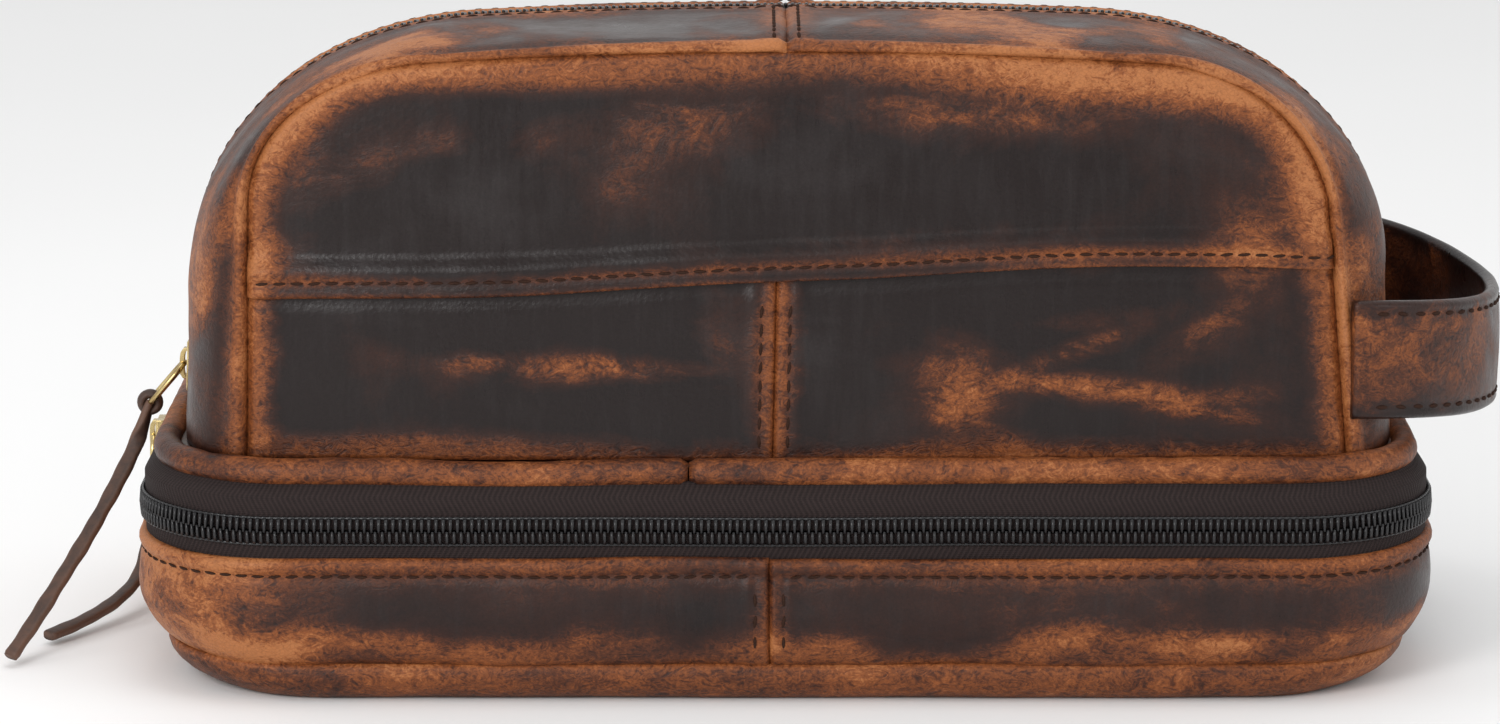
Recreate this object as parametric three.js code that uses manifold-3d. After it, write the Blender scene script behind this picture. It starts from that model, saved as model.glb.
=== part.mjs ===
// A leather shaving kit bag: a zipped main bag that stands on a shallow tray.
// The tray unzips round three sides and the bag tips back on a leather hinge behind it.
// Millimetres, +Z up, front towards -Y, origin on the table under the middle of the base.
import * as THREE from "three";
import { mergeVertices } from "three/addons/utils/BufferGeometryUtils.js";
import Module from "manifold-3d";

const wasm = await Module();
wasm.setup();

// Stock thicknesses and the clearance left between pieces that touch
const leather = 2;
const lining = 0.8;
const board = 1.6;
const tape = 0.8;
const gap = 0.3;
const liningSlack = 1.3; // between the main bag's leather and its lining

// Tray
const trayLength = 268;
const trayDepth = 132;
const trayCorner = 32;
const baseRise = 8.5; // height of the base leather's turned-up edge
const wallTop = 30.5; // height of the tray wall's folded edge
const undercutSide = 12; // how far the flat bottom sits inside the wall at the ends
const undercutFront = 4; // and at the front and back
const undercutHeight = 22; // height over which the wall rounds under
const zipBelow = 5.8; // from the wall up to the zip's middle line
const zipAbove = 8.2; // from there up to the piping
const pipingRadius = 3;
const pipingInset = 3; // the piping's outer edge inside the tray's outline
const pipingJoint = 20; // how far left of the middle the piping's ends meet
const hingeLength = 190; // length of the leather hinge along the back

// Main bag, as half outlines at mid depth and at the front seam, above its own bottom edge
const bagInset = pipingInset + 2 * pipingRadius; // the bag's sides inside the tray's outline
const panelLedge = 3.4; // the front and back seams, further in than the piping
const seamSet = 13; // the seams' ends, further in than the bag's sides
const bodyDepth = trayDepth - 2 * (bagInset + panelLedge);
const bagHalf = trayLength / 2 - bagInset;
const middle = { half: bagHalf, side: 37, lean: 1.8, topHalf: 62, eaves: 84.4, crown: 85.8 };
const seam = { half: bagHalf - seamSet, side: 53, lean: 2.6, topHalf: 72, eaves: 81, crown: 83.6 };
const rollSide = 28; // depth over which the sides swell out from the front seam
const rollTop = 14; // and the top
const topTaper = 0.07; // share of the depth lost at the crown
const bulge = 0.045; // share of the depth gained at the middle of the panels
const backDrop = 0.1; // share of the height lost from mid depth to the back
const lapHeight = 35.5; // where the upper front panel ends, above the bag's bottom edge

// Zips
const coilWidth = 2.3;
const coilThickness = 1.3;
const tapeInset = 1; // the tape's outer face inside the leather's outer face
const coilSplit = 0.7; // half the space between the two rows of teeth
const topTapeHalf = 6; // half width of the top zip between its leather edges
const topTrackEnd = 2.6; // the ends of the top zip's teeth, above the bag's bottom edge
const topSliderRest = 8.2; // the top slider's place, above the bag's bottom edge
const traySliderRest = 24; // the tray slider's place, behind the middle
const slider = { width: 9, length: 11, plate: 1.1, inside: 2, bridge: 1, bail: 2.2 };
const ring = { radius: 3.6, wire: 0.65, straight: 2.1 };
const stopLength = 1.6;

// Handle strap
const strapWidth = 24.5;
const strapThickness = 3;
const strapMiddle = 69.5; // height of its middle line where it is sewn in
const strapDrop = 5.5; // how far the loop sags between its ends
const strapStand = 26; // how far it stands out from the bag's side

// Laces
const laceWidth = 3.4;
const laceThickness = 2;
const laceHead = 2.8; // radius of the end the ring goes through
const laceHole = 1.1;

// Heights and lengths worked out from the above
const strapReach = middle.half + strapStand;
const zipMiddle = wallTop + zipBelow;
const zipTop = zipMiddle + zipAbove;
const pipingHeight = zipTop + pipingRadius;
const bodyBottom = pipingHeight + pipingRadius / 2;
const halfLength = trayLength / 2;
const halfDepth = trayDepth / 2;
const coilInset = tapeInset - gap - coilThickness;
const floorTop = bodyBottom - gap;
const floorBottom = floorTop - leather;

// Colours of the stock
const finish = (color, roughness, metalness = 0) =>
  new THREE.MeshStandardMaterial({ color, roughness, metalness });
const tan = finish(0x8a4a22, 0.45);
const dark = finish(0x3a211a, 0.4);
const cotton = finish(0x6b5a48, 0.9);
const card = finish(0x5b4a3a, 0.9);
const webbing = finish(0x1c1719, 0.85);
const nylon = finish(0x101012, 0.4);
const brass = finish(0x9a7b3c, 0.3, 1);

const root = new THREE.Group();

function add(name, geometry, material, place = root) {
  const mesh = new THREE.Mesh(geometry, material);
  mesh.name = name;
  place.add(mesh);
  return mesh;
}

// ---- booleans -------------------------------------------------------------------

function solid(geometry) {
  const bare = geometry.index ? geometry.toNonIndexed() : geometry.clone();
  bare.deleteAttribute("normal");
  bare.deleteAttribute("uv");
  const merged = mergeVertices(bare, 1e-4);
  return new wasm.Manifold(
    new wasm.Mesh({
      numProp: 3,
      vertProperties: merged.attributes.position.array,
      triVerts: new Uint32Array(merged.index.array),
    }),
  );
}

function geometryOf(manifold) {
  const mesh = manifold.getMesh();
  return new THREE.BufferGeometry()
    .setAttribute("position", new THREE.BufferAttribute(mesh.vertProperties, 3))
    .setIndex(new THREE.BufferAttribute(mesh.triVerts, 1));
}

const join = (...parts) => geometryOf(parts.map(solid).reduce((a, b) => a.add(b)));
const cut = (a, b) => geometryOf(solid(a).subtract(solid(b)));
const common = (a, b) => geometryOf(solid(a).intersect(solid(b)));
const refined = (a, length) => geometryOf(solid(a).refineToLength(length));

// ---- outlines -------------------------------------------------------------------

// The line moved sideways by a distance, positive towards the inside of the bag
function offset(points, distance) {
  return points.map((p, i) => {
    const before = points[Math.max(i - 1, 0)];
    const after = points[Math.min(i + 1, points.length - 1)];
    const a = p.clone().sub(before).normalize();
    const b = after.clone().sub(p).normalize();
    const along = a.clone().add(b).normalize();
    const inwards = new THREE.Vector2(along.y, -along.x);
    const widest = Math.max(0.5, i > 0 && after !== p ? along.dot(b) : 1);
    return p.clone().addScaledVector(inwards, distance / widest);
  });
}

// A band between two offsets of one line
function band(points, outer, inner) {
  return new THREE.Shape([...offset(points, outer), ...offset(points, inner).reverse()]);
}

const mirrored = (points) => points.map((p) => new THREE.Vector2(-p.x, p.y)).reverse();
const bothSides = (points) => [...points, ...mirrored(points)];

// Half of the bag's outline seen from the front: left side, corner, top, up to the middle
function archLine(o, start = 0, divisions = 6) {
  const line = new THREE.Path();
  line.moveTo(-o.half + (o.lean * start) / o.side, start);
  line.lineTo(-o.half + o.lean, o.side);
  const rise = o.eaves - o.side;
  const run = o.half - o.lean - o.topHalf;
  line.bezierCurveTo(
    -o.half + 1.9 * o.lean, o.side + 0.57 * rise,
    -o.topHalf - 0.54 * run, o.eaves - 0.02 * rise,
    -o.topHalf, o.eaves,
  );
  line.quadraticCurveTo(-0.5 * o.topHalf, o.crown, -gap / 2, o.crown);
  return line.getPoints(divisions);
}

// Half of the tray's outline seen from above: front middle, left side, back middle
function planLine(inset, divisions = 3) {
  const x = halfLength - inset;
  const y = halfDepth - inset;
  const r = trayCorner - inset;
  const line = new THREE.Path();
  line.absarc(r - x, r - y, r, -Math.PI / 2, -Math.PI, true);
  line.absarc(r - x, y - r, r, Math.PI, Math.PI / 2, true);
  line.lineTo(-gap / 2, y);
  return [new THREE.Vector2(-gap / 2, -y), ...line.getPoints(divisions)];
}

const planShape = (inset) => new THREE.Shape(bothSides(planLine(inset)));

// The zip's line round the tray: from the back right, round the front, to the back left
function zipLine() {
  const points = planLine(0).slice(1, -1);
  points.push(new THREE.Vector2(-hingeLength / 2 - gap, halfDepth));
  return [...mirrored(points), ...points];
}

// ---- solids from outlines ---------------------------------------------------------

// An outline seen from above, between two heights
function upright(shape, bottom, top, steps = 1) {
  const made = new THREE.ExtrudeGeometry(shape, {
    depth: top - bottom,
    steps,
    bevelEnabled: false,
  });
  return made.translate(0, 0, bottom);
}

// An outline seen from the front, between two depths, above the bag's bottom edge
function along(shape, front, back, steps = 1) {
  const made = new THREE.ExtrudeGeometry(shape, {
    depth: back - front,
    steps,
    bevelEnabled: false,
  });
  return made.rotateX(Math.PI / 2).translate(0, back, 0);
}

function reshape(geometry, rule) {
  const position = geometry.attributes.position;
  const point = new THREE.Vector3();
  for (let i = 0; i < position.count; i++) {
    point.fromBufferAttribute(position, i);
    rule(point);
    position.setXYZ(i, point.x, point.y, point.z);
  }
  return geometry;
}

// Distance from the bag's bottom middle to an outline, at an angle above the horizontal
function reach(line, angle) {
  const ray = new THREE.Vector2(-Math.cos(angle), Math.sin(angle));
  for (let i = 1; i < line.length; i++) {
    const a = line[i - 1];
    const edge = line[i].clone().sub(a);
    const turn = ray.cross(edge);
    if (Math.abs(turn) < 1e-9) continue;
    const far = a.cross(edge) / turn;
    const share = a.cross(ray) / turn;
    if (far > 0 && share >= -1e-6 && share <= 1 + 1e-6) return far;
  }
  return line[line.length - 1].length();
}

const middleLine = archLine(middle, 0, 12);
const seamLine = archLine(seam, 0, 12);
const swell = (share) => Math.sqrt(1 - (1 - Math.min(Math.max(share, 0), 1)) ** 2);

// The bag's form: narrower at the front and back seams than at mid depth, and less deep at the top
function formBody(geometry) {
  return reshape(geometry, (p) => {
    const inside = bodyDepth / 2 - Math.abs(p.y);
    const angle = Math.atan2(p.z, Math.abs(p.x));
    const ratio = reach(seamLine, angle) / reach(middleLine, angle);
    p.x *= ratio + (1 - ratio) * swell(inside / rollSide);
    p.z *= ratio + (1 - ratio) * swell(inside / rollTop);
    p.z *= 1 - (backDrop * Math.max(0, p.y)) / (bodyDepth / 2);
    p.y *= 1 - (topTaper * p.z) / middle.crown;
    p.y *= 1 + bulge * Math.max(0, 1 - (p.x / seam.half) ** 2);
    p.z += bodyBottom;
  });
}

// The tray's form: the wall rounds under towards the base
function formTray(geometry) {
  return reshape(geometry, (p) => {
    const share = Math.min(Math.max(1 - p.z / undercutHeight, 0), 1) ** 2;
    p.x *= 1 - (share * undercutSide) / halfLength;
    p.y *= 1 - (share * undercutFront) / halfDepth;
  });
}

// ---- the tray -------------------------------------------------------------------

function dish(inset, bottom, top, thickness, steps) {
  const outside = upright(planShape(inset), bottom, top, steps);
  const inside = upright(planShape(inset + thickness), bottom + thickness, top + 1, steps);
  return cut(formTray(outside), formTray(inside));
}

add("base_panel", dish(0, 0, baseRise, leather, 4), tan);
const boardInset = leather + gap;
const boardBottom = leather + gap;
add(
  "base_board",
  formTray(upright(planShape(boardInset + gap), boardBottom, boardBottom + board)),
  card,
);
const trayLiningBottom = boardBottom + board + gap;
add("tray_lining", dish(boardInset, trayLiningBottom, wallTop - gap, lining, 6), cotton);

const wall = (points) =>
  formTray(upright(band(points, 0, leather), baseRise + gap, wallTop, 4));
add("tray_wall_left", wall(planLine(0)), tan);
add("tray_wall_right", wall(mirrored(planLine(0))), tan);

// ---- the tray's zip, in two halves that part at its middle line -------------------------


function zipHalf(side, names) {
  const near = zipMiddle + side * coilSplit;
  const far = side < 0 ? wallTop + gap : zipTop - gap;
  const tapeBand = band(zipLine(), tapeInset, tapeInset + tape);
  const coilBand = band(zipLine(), coilInset, coilInset + coilThickness);
  add(names[0], upright(tapeBand, Math.min(near, far), Math.max(near, far)), webbing);
  const coilFar = near + side * coilWidth;
  add(names[1], upright(coilBand, Math.min(near, coilFar), Math.max(near, coilFar)), nylon);
}

zipHalf(-1, ["tray_zip_tape", "tray_zip_coil"]);
zipHalf(1, ["lid_zip_tape", "lid_zip_coil"]);

function hingeHalf(name, bottom, top) {
  const strip = new THREE.BoxGeometry(hingeLength - 2 * gap, leather, top - bottom);
  strip.translate(0, halfDepth - leather / 2, (bottom + top) / 2);
  add(name, strip, dark);
}

hingeHalf("hinge_strip_lower", wallTop + gap, zipMiddle - gap / 2);
hingeHalf("hinge_strip_upper", zipMiddle + gap / 2, zipTop - gap);

for (const [name, side] of [["tray_stop_left", -1], ["tray_stop_right", 1]]) {
  const stop = new THREE.BoxGeometry(stopLength, coilThickness, coilWidth);
  const height = zipMiddle - coilSplit - coilWidth / 2;
  const depth = halfDepth + coilThickness / 2 + gap;
  add(name, stop.translate(side * (hingeLength / 2 - stopLength), depth, height), brass);
}

// ---- the floor between tray and bag, and the piping round it ---------------------------

function pipingLine() {
  const inset = pipingInset + pipingRadius;
  const left = planLine(inset).map((p) => new THREE.Vector3(p.x, p.y, pipingHeight));
  const right = left.map((p) => new THREE.Vector3(-p.x, p.y, p.z)).reverse();
  const joint = new THREE.Vector3(-pipingJoint, left[0].y, pipingHeight);
  const start = joint.clone().setX(joint.x - gap);
  const line = new THREE.CurvePath();
  const stops = [start, ...left.slice(1), ...right, joint];
  for (let i = 1; i < stops.length; i++) {
    line.add(new THREE.LineCurve3(stops[i - 1], stops[i]));
  }
  return line;
}

function roundSection(width, thickness, sides) {
  const section = new THREE.Path();
  section.absellipse(0, 0, width / 2, thickness / 2, 0, 2 * Math.PI);
  return new THREE.Shape(section.getPoints(sides / 2).slice(0, -1));
}

add(
  "piping",
  new THREE.ExtrudeGeometry(roundSection(2 * pipingRadius, 2 * pipingRadius, 8), {
    steps: 80,
    extrudePath: pipingLine(),
    bevelEnabled: false,
  }),
  tan,
);

const floorInset = pipingInset + 2 * pipingRadius + 4 * gap;
const lidLiningTop = floorBottom - gap;
add("lid_floor", upright(planShape(floorInset), floorBottom, floorTop), dark);
add("lid_lining", upright(planShape(floorInset), lidLiningTop - lining, lidLiningTop), cotton);

// The stiffener and the lining on it lie inside the bag's walls
function insideFloor(name, bottom, thickness, material) {
  const inset = leather + liningSlack + lining + 2 * gap;
  const half = middle.half - inset;
  const depth = bodyDepth / 2 - inset;
  const corner = rollSide - inset;
  const outline = new THREE.Shape();
  outline.moveTo(corner - half, -depth);
  outline.absarc(half - corner, corner - depth, corner, -Math.PI / 2, 0, false);
  outline.absarc(half - corner, depth - corner, corner, 0, Math.PI / 2, false);
  outline.absarc(corner - half, depth - corner, corner, Math.PI / 2, Math.PI, false);
  outline.absarc(corner - half, corner - depth, corner, Math.PI, 1.5 * Math.PI, false);
  const made = new THREE.ExtrudeGeometry(outline, {
    depth: thickness,
    curveSegments: 5,
    bevelEnabled: false,
  });
  add(name, made.translate(0, 0, bottom), material);
}

insideFloor("floor_board", bodyBottom, board, card);
insideFloor("floor_lining", bodyBottom + board + gap, lining, cotton);

// ---- the main bag: front and back halves that part at the top zip ------------------------

const panelBack = bodyDepth / 2 - leather;
const panelMesh = 18; // longest edge in the panels' meshes, so they can bulge

// One piece of a front or back panel: what lies between two heights and two sides
function panelPiece(low, high, left, right, side) {
  const whole = new THREE.Shape(bothSides(archLine(middle)));
  const depths = side < 0 ? [-bodyDepth / 2, -panelBack] : [panelBack, bodyDepth / 2];
  const box = new THREE.BoxGeometry(right - left, 2 * bodyDepth, high - low);
  box.translate((left + right) / 2, 0, bodyBottom + (low + high) / 2);
  return common(formBody(refined(along(whole, ...depths), panelMesh)), box);
}

function half(side, names) {
  const wide = middle.half + 1;
  const seamGap = gap / 2;
  const lap = [lapHeight + seamGap, lapHeight - seamGap];
  add(names.upper, panelPiece(lap[0], middle.crown + 1, -wide, wide, side), dark);
  add(names.lowerLeft, panelPiece(-1, lap[1], -wide, -seamGap, side), dark);
  add(names.lowerRight, panelPiece(-1, lap[1], seamGap, wide, side), dark);

  const span = (from, to) => (side < 0 ? [-from, -to] : [to, from]);
  const line = archLine(middle);
  const gusset = (points) =>
    formBody(along(band(points, 0, leather), ...span(panelBack - gap, topTapeHalf + gap), 6));
  add(names.gussetLeft, gusset(line), tan);
  add(names.gussetRight, gusset(mirrored(line)), tan);

  const inset = leather + liningSlack;
  const arch = bothSides(archLine(middle, 2 * gap));
  const skin = along(
    band(arch, inset, inset + lining),
    ...span(panelBack - gap, topTapeHalf + 2 * gap),
    6,
  );
  const sheet = along(
    new THREE.Shape(offset(arch, inset)),
    ...span(panelBack - gap, panelBack - gap - lining),
  );
  add(names.lining, formBody(join(skin, refined(sheet, panelMesh))), cotton);

  const tapeBand = band(bothSides(archLine(middle, gap)), tapeInset, tapeInset + tape);
  const track = bothSides(archLine(middle, topTrackEnd));
  const coilBand = band(track, coilInset, coilInset + coilThickness);
  add(names.tape, formBody(along(tapeBand, ...span(topTapeHalf, coilSplit))), webbing);
  const coilSpan = span(coilSplit + coilWidth, coilSplit);
  add(names.coil, formBody(along(coilBand, ...coilSpan)), nylon);
}

half(-1, {
  upper: "front_upper_panel",
  lowerLeft: "front_lower_left_panel",
  lowerRight: "front_lower_right_panel",
  gussetLeft: "front_gusset_left",
  gussetRight: "front_gusset_right",
  lining: "front_lining",
  tape: "front_zip_tape",
  coil: "front_zip_coil",
});
half(1, {
  upper: "back_upper_panel",
  lowerLeft: "back_lower_left_panel",
  lowerRight: "back_lower_right_panel",
  gussetLeft: "rear_gusset_left",
  gussetRight: "rear_gusset_right",
  lining: "rear_lining",
  tape: "rear_zip_tape",
  coil: "rear_zip_coil",
});

for (const [name, side] of [["top_stop_left", -1], ["top_stop_right", 1]]) {
  const stop = new THREE.BoxGeometry(coilThickness, coilWidth, stopLength);
  const height = topTrackEnd - gap - stopLength / 2;
  const x = middle.half - (middle.lean * height) / middle.side - coilInset - coilThickness / 2;
  add(name, stop.translate(side * x, coilSplit + coilWidth / 2, bodyBottom + height), brass);
}

// ---- the handle: one strap, in a front and a back half ------------------------------------

function strapHalf(name, side) {
  const start = bodyDepth / 2 - 1;
  const line = new THREE.CubicBezierCurve(
    new THREE.Vector2(seam.half + 5.5, start),
    new THREE.Vector2(seam.half + 24, start - 6),
    new THREE.Vector2(strapReach - strapThickness, 26),
    new THREE.Vector2(strapReach - strapThickness, gap / 2),
  );
  const shape = band(line.getPoints(9), 0, -strapThickness);
  const made = upright(shape, strapMiddle - strapWidth / 2, strapMiddle + strapWidth / 2);
  reshape(made, (p) => {
    p.z -= side * strapDrop * (1 - (p.y / start) ** 2);
  });
  if (side < 0) made.rotateX(Math.PI).translate(0, 0, 2 * strapMiddle);
  add(name, made, tan);
}

strapHalf("handle_front_half", -1);
strapHalf("handle_rear_half", 1);

// ---- sliders, pull rings and laces -----------------------------------------------------

// A slider's own frame: +X away from the bag, Y across the tape, +Z along its way
function sliderSolid(bailTurn) {
  const plateMiddle = slider.inside + slider.plate / 2;
  const plate = () => new THREE.BoxGeometry(slider.plate, slider.width, slider.length);
  const bridge = new THREE.BoxGeometry(2 * plateMiddle, slider.bridge, 3);
  const bail = new THREE.BoxGeometry(slider.bail + 0.4, 2.4, 7.2).rotateX(bailTurn);
  const eye = new THREE.BoxGeometry(slider.bail - 0.5, 3, 4.6).rotateX(bailTurn);
  const top = slider.inside + slider.plate;
  const body = join(
    plate().translate(plateMiddle, 0, 0),
    plate().translate(-plateMiddle, 0, 0),
    bridge.translate(0, 0, slider.length / 2 - 2.5),
    bail.translate(top + slider.bail / 2 - 0.2, 0, 0),
  );
  return cut(body, eye.translate(top + slider.bail / 2 - 0.25, 0, 0));
}

// A wire ring whose inner end is at the origin and which hangs towards -Z
function ringSolid() {
  const made = new THREE.TorusGeometry(ring.radius, ring.wire, 8, 16);
  made.rotateZ(Math.PI / 16);
  reshape(made, (p) => {
    p.y += p.y > 0 ? ring.straight : -ring.straight;
  });
  made.rotateX(Math.PI / 2).rotateZ(Math.PI / 2);
  return made.translate(0, 0, -ring.radius - ring.straight);
}

// A lace from the ring's outer end, through the points given
function laceSolid(from, points) {
  const stops = [from, ...points.map((p) => new THREE.Vector3(...p))];
  const strip = new THREE.ExtrudeGeometry(roundSection(laceThickness, laceWidth, 8), {
    steps: 18,
    extrudePath: new THREE.CatmullRomCurve3(stops),
    bevelEnabled: false,
  });
  const head = new THREE.CylinderGeometry(laceHead, laceHead, laceThickness, 14);
  const hole = new THREE.CylinderGeometry(laceHole, laceHole, 3 * laceThickness, 10);
  const at = from.toArray();
  return cut(join(strip, head.translate(...at)), hole.translate(...at));
}

const eyeOut = slider.inside + slider.plate + slider.bail / 2 - 0.25;
const ringReach = 2 * (ring.radius + ring.straight);

function pull(names, origin, turn, bailTurn, ringTurn, lace) {
  const place = new THREE.Group();
  place.position.copy(origin);
  place.rotation.copy(turn);
  root.add(place);
  add(names[0], sliderSolid(bailTurn), brass, place);
  const hung = new THREE.Group();
  hung.position.set(eyeOut, 0, 0);
  hung.rotation.copy(ringTurn);
  place.add(hung);
  add(names[1], ringSolid(), brass, hung);
  root.updateMatrixWorld(true);
  const end = hung.localToWorld(new THREE.Vector3(0, 0, -ringReach));
  add(names[2], laceSolid(end, lace), dark);
}

// The top zip's slider faces left on the leaning side of the bag, and its ring stands out
const sideLean = Math.atan2(middle.lean, middle.side);
const zipCore = (coilInset + tapeInset + tape) / 2; // the middle of tape and teeth
const topOrigin = new THREE.Vector3(
  -middle.half + (middle.lean * topSliderRest) / middle.side + zipCore,
  0,
  bodyBottom + topSliderRest,
);
pull(
  ["top_slider", "top_pull_ring", "top_lace"],
  topOrigin,
  new THREE.Euler(0, sideLean, Math.PI, "YXZ"),
  0,
  new THREE.Euler(0, THREE.MathUtils.degToRad(-38), 0),
  [
    [-138, -3.5, 41],
    [-142.2, -10, 32.5],
    [-147.4, -17, 23.5],
    [-152.6, -24, 15.5],
    [-157.6, -30.5, 8],
    [-161.8, -36, 2.2],
  ],
);

// The tray zip's slider faces left and closes rearwards; its ring hangs down
const trayOrigin = new THREE.Vector3(-halfLength + zipCore, traySliderRest, zipMiddle);
pull(
  ["tray_slider", "tray_pull_ring", "tray_lace"],
  trayOrigin,
  new THREE.Euler(Math.PI / 2, 0, Math.PI, "XYZ"),
  Math.PI / 2,
  new THREE.Euler(Math.PI / 2, 0, 0),
  [
    [-138.2, 20, 15],
    [-139.8, 11, 8.2],
    [-143.6, 1, 5],
    [-149.6, -9, 3],
    [-156, -18.4, 2.1],
  ],
);

export default root;
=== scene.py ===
# %% [markdown]
# # A leather shaving kit bag
# The bag is two containers: a main bag with an arched zip, and a shallow tray it stands on,
# closed by a second zip that runs round three sides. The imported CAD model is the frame: it
# says where each piece is and what it moves with. This script makes the pieces that are
# seen, such as sewn leather, zip teeth, stitches, brass and laces.

# %% The frame
import math

import bmesh
import bpy
import numpy as np
from mathutils import Matrix, Vector, noise
from mathutils.bvhtree import BVHTree


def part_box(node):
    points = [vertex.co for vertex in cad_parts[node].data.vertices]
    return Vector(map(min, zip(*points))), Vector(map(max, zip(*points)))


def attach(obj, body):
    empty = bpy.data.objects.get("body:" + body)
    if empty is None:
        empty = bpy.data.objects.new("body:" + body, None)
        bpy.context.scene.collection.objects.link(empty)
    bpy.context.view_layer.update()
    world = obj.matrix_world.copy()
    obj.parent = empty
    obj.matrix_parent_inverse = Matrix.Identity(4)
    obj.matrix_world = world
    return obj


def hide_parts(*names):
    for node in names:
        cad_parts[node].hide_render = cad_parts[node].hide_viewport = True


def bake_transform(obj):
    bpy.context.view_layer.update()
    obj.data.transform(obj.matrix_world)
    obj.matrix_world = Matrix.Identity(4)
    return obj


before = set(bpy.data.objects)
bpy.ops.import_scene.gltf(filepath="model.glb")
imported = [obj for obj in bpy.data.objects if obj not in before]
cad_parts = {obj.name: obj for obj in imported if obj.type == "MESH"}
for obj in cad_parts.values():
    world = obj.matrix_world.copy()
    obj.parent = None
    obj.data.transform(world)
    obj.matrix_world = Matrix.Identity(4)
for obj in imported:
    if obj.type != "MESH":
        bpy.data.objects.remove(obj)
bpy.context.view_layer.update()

# %% [markdown]
# ## The camera and the room
# The bag stands on a pale table a little below the lens. A long lens from about a metre
# keeps its sides nearly parallel.


# %% Camera
def look(thing, place, target):
    thing.location = place
    thing.rotation_euler = (Vector(target) - Vector(place)).to_track_quat("-Z", "Y").to_euler()
    bpy.context.scene.collection.objects.link(thing)


camera = bpy.data.objects.new("camera", bpy.data.cameras.new("camera"))
camera.data.lens = 131.5
camera.data.sensor_width = 36
look(camera, (-0.0074, -1.142, 0.3002), (-0.0074, -0.066, 0.0715))
bpy.context.scene.camera = camera
bpy.context.scene.view_settings.view_transform = "Standard"


# %% [markdown]
# ## The laces
# Each zip pull is a brass ring with a strip of leather folded round it. The strips are cords:
# they hang from the rings, reach the table and lie there, so their routes come from the
# model, and only the section, a flat strip with softened corners, is made here. At the ring
# the strip's width lies across the bag, and then it turns its flat side to the front.


# %% Lines, pieces from points, and a strip along a route
MM = 0.001


def unit(vectors):
    return vectors / np.maximum(np.linalg.norm(vectors, axis=-1, keepdims=True), 1e-12)


def run_length(line):
    """Distance along a line of points, from its start."""
    steps = np.linalg.norm(np.diff(line, axis=0), axis=-1)
    return np.concatenate([[0], np.cumsum(steps)])


def sample(values, length, at):
    """Rows of values, known at distances in length, read off at other distances."""
    return np.stack([np.interp(at, length, values[:, k]) for k in range(values.shape[1])], -1)


def piece_from(name, points, faces, material, edge=None, worn=None, uv=None):
    """A new object from points in millimetres."""
    mesh = bpy.data.meshes.new(name)
    mesh.from_pydata((np.asarray(points) * MM).tolist(), [], faces)
    for key, values in (("edge", edge), ("worn", worn)):
        if values is not None:
            layer = mesh.attributes.new(key, "FLOAT", "POINT")
            layer.data.foreach_set("value", np.asarray(values, np.float32).ravel())
    if uv is not None:
        corners = np.zeros(len(mesh.loops), np.int32)
        mesh.loops.foreach_get("vertex_index", corners)
        layer = mesh.uv_layers.new(name="UVMap")
        layer.data.foreach_set("uv", np.asarray(uv, np.float32)[corners].ravel())
    mesh.materials.append(material)
    mesh.shade_smooth()
    made = bpy.data.objects.new(name, mesh)
    bpy.context.scene.collection.objects.link(made)
    return made


def turn_outwards(made, merge=1e-6):
    """Doubles closer than merge are joined, and then every face is turned to point outwards."""
    work = bmesh.new()
    work.from_mesh(made.data)
    if merge:
        bmesh.ops.remove_doubles(work, verts=work.verts, dist=merge)
        bmesh.ops.dissolve_degenerate(work, edges=work.edges, dist=1e-7)
    bmesh.ops.recalc_face_normals(work, faces=work.faces)
    work.to_mesh(made.data)
    work.free()
    made.data.shade_smooth()
    return made


def tube_faces(count, around):
    """The faces of a capped tube of count rings, with the same number of points around each."""
    faces = []
    for i in range(count - 1):
        for j in range(around):
            a, b = i * around + j, i * around + (j + 1) % around
            faces.append((a, b, b + around, a + around))
    return faces + [tuple(range(around)), tuple((count - 1) * around + j for j in range(around))]


def smooth_route(stops, steps=9):
    """A smooth curve through the stops, in millimetres."""
    p = np.array(stops, float)
    p = np.vstack([2 * p[0] - p[1], p, 2 * p[-1] - p[-2]])
    line = []
    for k in range(1, len(p) - 2):
        gaps = [np.linalg.norm(p[k + i] - p[k + i - 1]) ** 0.5 for i in (0, 1, 2)]
        leave = (p[k] - p[k - 1]) / gaps[0] - (p[k + 1] - p[k - 1]) / (gaps[0] + gaps[1])
        leave = (leave + (p[k + 1] - p[k]) / gaps[1]) * gaps[1]
        reach = (p[k + 1] - p[k]) / gaps[1] - (p[k + 2] - p[k]) / (gaps[1] + gaps[2])
        reach = (reach + (p[k + 2] - p[k + 1]) / gaps[2]) * gaps[1]
        for t in np.linspace(0, 1, steps, endpoint=k == len(p) - 3):
            line.append(
                (2 * t**3 - 3 * t**2 + 1) * p[k] + (t**3 - 2 * t**2 + t) * leave
                + (3 * t**2 - 2 * t**3) * p[k + 1] + (t**3 - t**2) * reach
            )
    return np.array(line)


LACE_WIDTH, LACE_THICKNESS, LACE_RINGS, LACE_AROUND = 3.4, 2.0, 70, 16
TABLE_GAP = 0.15


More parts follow.
